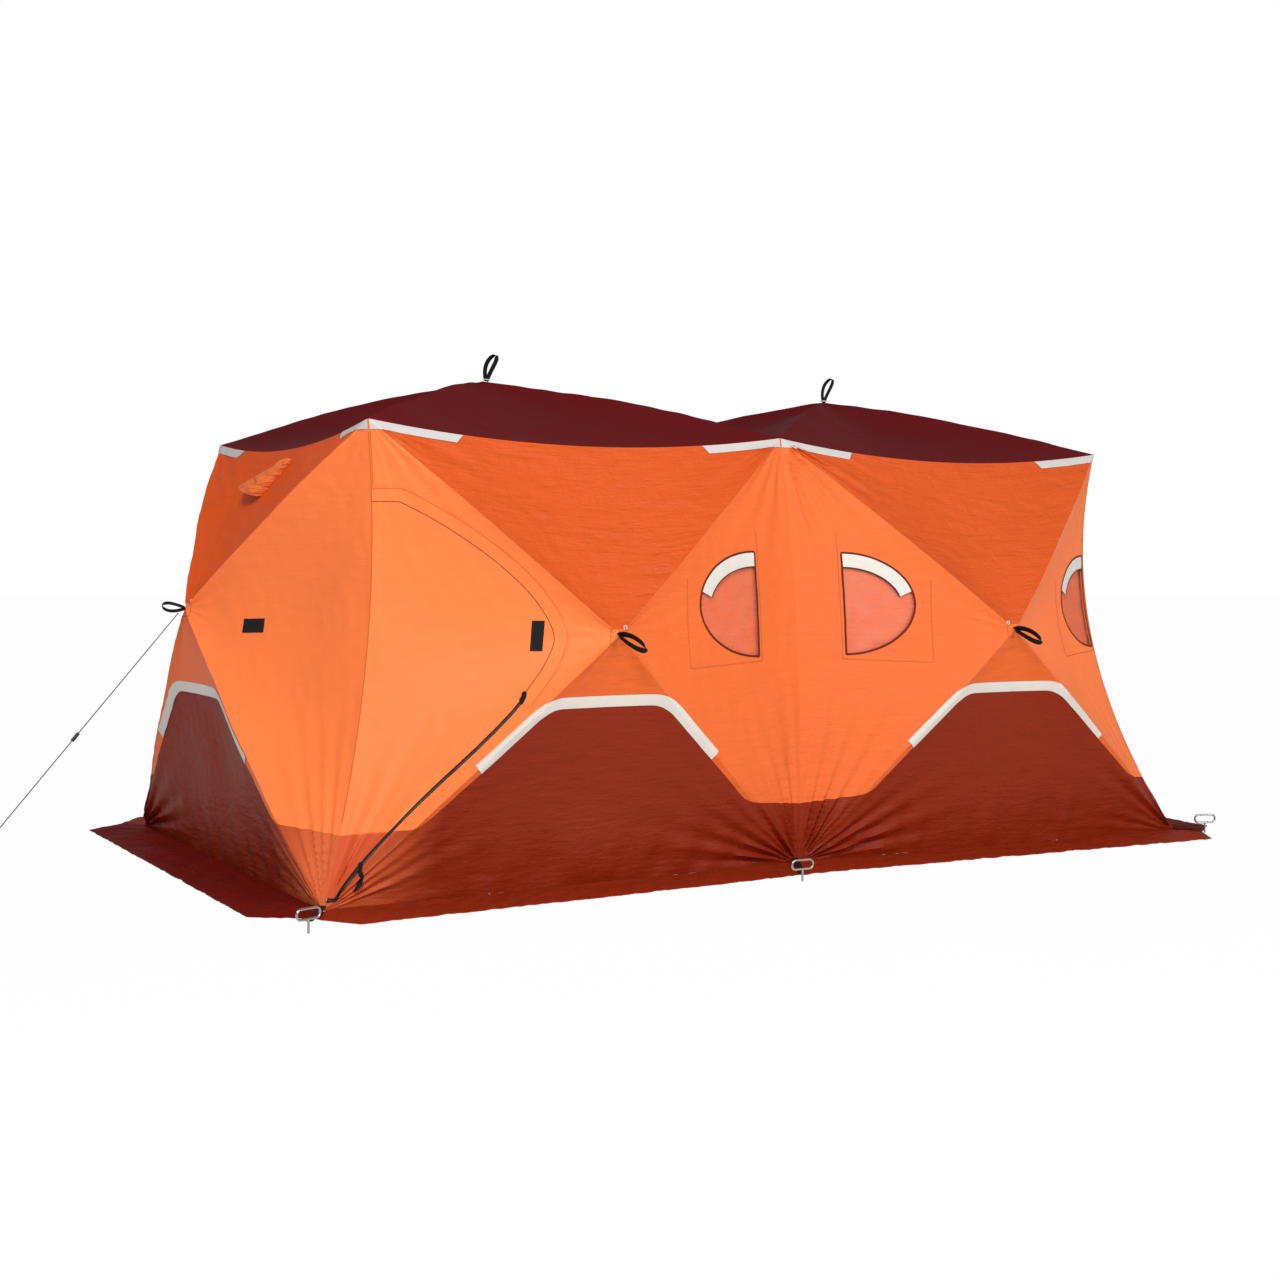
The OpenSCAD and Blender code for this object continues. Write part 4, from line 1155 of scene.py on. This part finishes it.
PATCH_HALF = 0.034
SQUARE = PATCH_HALF * np.array([(-1, -1), (1, -1), (1, 1), (-1, 1), (-1, -1)])
loops, grommets, hub_stitching = [], [], []
for key, wall in WALLS.items():
    out, hub_z = wall.out * (*wall.flip, 1), wall.hub[2]
    lean = np.array([0, 0.015, 0.010] if wall.end else [0.055, 0, -0.050])
    loops.append(webbing_loop(wall.point(0.0, hub_z, 0.001), out * (0.085 if wall.end else 0.100), lean,
                              np.array([0.2, 0.1, 1.0]), 0.042, (0.2, 0.3, 0.8)))
    grommets.append(ring_part(wall.point(0.032, hub_z + 0.030, 0.003), out, 0.0065, 0.0022))
    hub_stitching.append(strip(key, SQUARE + (0, hub_z), 0.003, 0.0008, 0.0012, 3, 0.006))
for fx in (1, -1):
    root = ROOF_HUB * (fx, 1, 1) + (0, 0, 0.001)
    loops.append(webbing_loop(root, np.array([0, 0, 0.112]), np.array([0.040, -0.01, 0.0]),
                              np.array([1.0, -0.5, 0]), 0.044, (0.9, -0.4, 0)))
    grommets.append(ring_part(root + (0.0, 0.0, 0.004), (0, 0, 1), 0.013, 0.0025))
piece("webbing_pull_loops", loops, black_webbing, ["pull_loops"])
piece("white_grommets", grommets, white_tape)
piece("hub_patch_stitching", hub_stitching, stitch_look)
print("loops", len(loops), "grommets", len(grommets))

# %% [markdown]
# ## Vent hoods
# High on each end wall a hood of the same nylon shelters a black mesh vent. Wire in its
# hem holds its mouth open, and it droops towards one side. The hood is a half cone whose
# edges lie on the wall, from a narrow top to an open mouth.

# %% Vent hoods
def hood_grid():
    """Half cone on the wall: v runs from the top to the mouth, and u from one edge to the other."""
    v, u = np.linspace(0, 1, 26)[:, None], np.linspace(-1, 1, 31)[None, :]
    top, left, right_end = (np.array(spot) for spot in ((0.125, 1.738), (-0.235, 1.640), (0.02, 1.572)))
    mouth = left * (1 - (u[..., None] + 1) / 2) + right_end * (u[..., None] + 1) / 2
    start = top + np.array([0.03, 0.0]) * u[..., None]
    spot = start * (1 - v[..., None]) + mouth * v[..., None]
    high = (0.016 + 0.060 * v ** 0.8) * np.sqrt(np.clip(1 - u * u, 0, 1)) ** 0.9
    soft = 0.0055 * waves(u / 0.9 + 0 * v, v / 0.22 + 0 * u, 410)
    pucker = 0.004 * np.sin(7 * u + 4 * v) * v * (1 - u * u) + soft * (1 - u * u)
    lift = np.maximum(high + pucker, 0.0015)
    return np.broadcast_to(spot[..., 0], lift.shape), spot[..., 1] + 0 * lift, lift


hoods, vents = [], []
a, z, lift = hood_grid()
shrink = np.where(lift > 0.006, 0.0022, 0.0008)
for key in ("left_end", "right_end"):
    wall = WALLS[key]
    outer, inner = wall.point(a, z, lift)[::-1], wall.point(a, z, lift - shrink)[::-1]
    hoods.append(grid_part(outer, inner, np.stack([a, z], -1)[::-1], None, wall.turned))
    screen = [(-0.10, 1.628), (0.02, 1.660), (0.07, 1.672)]
    vents.append(strip(key, screen, 0.070, 0.0008, 0.0006, 8, 0.008, 0, True))
hood_face = wall.point(a, z, lift)
hood_piece = piece("nylon_vent_hoods", hoods, hood_look, ["vent_hoods"])
piece("vent_mesh", vents, black_mesh)
print("hoods", len(hoods))

# %% [markdown]
# ## Snow skirts
# A wide skirt of the rust nylon lies out on the snow round the foot. It was sewn on
# straight and lies on rough ground, so it crumples: short folds run out from the foot
# and die at its hem. The skirt's outline is that of the solid.

# %% Snow skirts
SKIRT_SIDE, SKIRT_END = 0.250, 0.265


def skirt(side, lines, flip, seed, look, fine):
    """Strip of cloth between two lines on the ground, raised by folds over its width."""
    count, rows = (300, 22) if fine else (160, 12)
    s, v = np.linspace(0, 1, count), np.linspace(0, 1, rows)[:, None]
    near, far = (resample(line, 0.002)[0] for line in lines)
    near, far = (np.stack([np.interp(s, np.linspace(0, 1, len(line)), line[:, i]) for i in range(2)], -1)
                 for line in (near, far))
    flat = near[None] * (1 - v[..., None]) + far[None] * v[..., None]
    along = s[None, :] * np.linalg.norm(np.diff(near, axis=0), axis=1).sum()
    along, v = np.broadcast_arrays(along, v)
    folds = np.abs(waves(along / 0.085, v / 0.9, seed, 7)) * 0.0062
    folds = folds + np.abs(waves(along / 0.24, v / 1.4, seed + 1, 6)) * 0.0044
    rise = np.clip(folds * (0.35 + 0.65 * np.sin(np.pi * np.clip(v * 0.9 + 0.05, 0, 1))), 0, 0.0125)
    ridge = 0.006 * np.exp(-((v - 0.14) / 0.07) ** 2) * (0.6 + 0.4 * waves(along / 0.5, v, seed + 2, 4))
    rise = np.clip(rise + ridge, 0, 0.0135)
    high = 0.0005 + rise * ease(np.minimum(s, 1 - s)[None, :] / 0.01)
    hem = 1 - 0.25 * ease((v - 0.93) / 0.07)
    lower = np.concatenate([flat, (high * hem)[..., None]], -1)
    upper = lower + (0, 0, 0.0035)
    scale = np.array([flip[0], flip[1], 1])
    uv = np.stack([along, v * 0.25], -1)
    built = grid_part(upper[::-1] * scale, lower[::-1] * scale, uv[::-1], None, flip[0] * flip[1] < 0)
    name = side + "_skirt_cloth"
    obj = piece(name, [built], look, [side + "_snow_skirt"])
    length, down = cloth_size(upper)
    FLAT[name] = (obj, length, down, within_box(cloth_area(upper), length, down))


base, middle = corner_seam(np.array(0.0)), middle_seam(np.array(0.0))
bx, by, my = base[0], base[1], middle[1]
third = SKIRT_END / 3
left_half_near = [(bx + 0.006, by + 0.006), (0, my + 0.006)]
left_half_far = [(bx - third, by - third), (bx + 0.04, by - SKIRT_END), (bx + 0.42, by - SKIRT_SIDE),
                 (0, my - SKIRT_SIDE)]
long_lines = [half + [(-px, py) for px, py in half[::-1]][1:] for half in (left_half_near, left_half_far)]
end_lines = [[(bx + 0.006, -by - 0.006), (bx + 0.006, by + 0.006)],
             [(bx - third, -by + third), (bx - SKIRT_END, -by - 0.04), (bx - SKIRT_END, by + 0.04),
              (bx - third, by - third)]]
skirt("front", long_lines, (1, 1), 500, skirt_cloth, True)
skirt("back", long_lines, (1, -1), 520, skirt_cloth, False)
skirt("left", end_lines, (1, 1), 510, end_skirt_cloth, True)
skirt("right", end_lines, (-1, 1), 530, end_skirt_cloth, False)
print("skirts done")

# %% [markdown]
# ## Straps and the hard parts
# Webbing straps run from the foot of the wall to the anchors, and from each end hub to
# its guy line. The anchors, poles, hubs and taut lines keep their own shapes and get
# their finish.

# %% Straps and finishes
def strap_between(p, q, width, sag):
    """Flat strap from p to q with its width level and a little sag."""
    t = np.linspace(0, 1, 24)[:, None]
    path = np.array(p) * (1 - t) + np.array(q) * t
    path[:, 2] -= sag * 4 * (t * (1 - t))[:, 0]
    way = np.array(q) - np.array(p)
    return carried(path, unit(np.cross(way, (0, 0, 1))), width, 0.0028)


corner_foot = corner_seam(np.array(0.025)) - (0.010, 0.010, 0)
middle_foot = middle_seam(np.array(0.025)) - (0.020, 0.010, 0)
ANCHORS = ((corner_foot, (-2.290, -1.520, 0.040), 1, 1), (corner_foot, (-2.222, -1.302, 0.040), -1, 1),
           (middle_foot, (-0.230, -1.480, 0.040), 1, 1), (middle_foot, (-0.230, -1.53725, 0.040), 1, -1))
straps = []
for foot_point, anchor, fx, fy in ANCHORS:
    way = np.array(anchor) - foot_point
    end_point = np.array(anchor) - 0.010 * way / np.linalg.norm(way)
    straps.append(strap_between(foot_point * (fx, fy, 1), end_point * (fx, fy, 1), 0.025, 0.004))
piece("webbing_anchor_straps", straps, black_webbing, ["anchor_straps"])
guy_top, guy_straps = END_HUB + (-0.028, 0, -0.021), []
for fx, back in ((1, 0.0), (-1, 0.25)):
    guy_way = unit(np.array([END_HUB[0] - 0.88, back, 0.030]) - guy_top)
    path = np.linspace(guy_top, guy_top + 0.150 * guy_way, 16) * (fx, 1, 1)
    guy_straps.append(carried(path, np.array([0.6 * fx, 0.8, 0.5]), 0.024, 0.0030))
piece("webbing_guy_straps", guy_straps, black_webbing, ["guy_straps"])


def finish_node(node, material):
    """Gives a CAD node's own object its finish."""
    obj = bpy.data.objects[node]
    if not obj.material_slots:
        obj.data.materials.append(material)
    for one in obj.material_slots:
        one.material = material


FINISHES = (
    (wire_look, ("ice_anchors", "guy_anchors")), (cord_look, ("guy_lines",)),
    (plastic_look, ("hubs", "guy_sliders")),
    (fibre_look, ("front_poles", "back_poles", "end_poles", "roof_poles")))
for look, nodes in FINISHES:
    for node in nodes:
        finish_node(node, look)

# %% [markdown]
# ## Sizes of the cloth
# The sheets' sizes from the steps above are gone through once more, and the number of
# sheets is printed.

# %% Sheets
for name, (obj, width, length, area) in FLAT.items():
    held = "laid" if "skirt" in name else "stretched"
    rests = ["front_left_corner_panel"] if name == "door_cloth" else []
for flap, (width, length), area, owner in FLAPS:
    round(within_box(area, width, length), 4)
several = [(hood_piece, [hood_face] * 2)] + [(film_objects[side], PANES[side]) for side in PANES]
for obj, faces in several:
    sizes = np.array([cloth_size(face) for face in faces])
    width, length, area = sizes[:, 0].sum(), sizes[:, 1].max(), sum(cloth_area(face) for face in faces)
    area = round(within_box(area, width, length), 4)
print("sheets", len(FLAT) + len(FLAPS) + len(several))
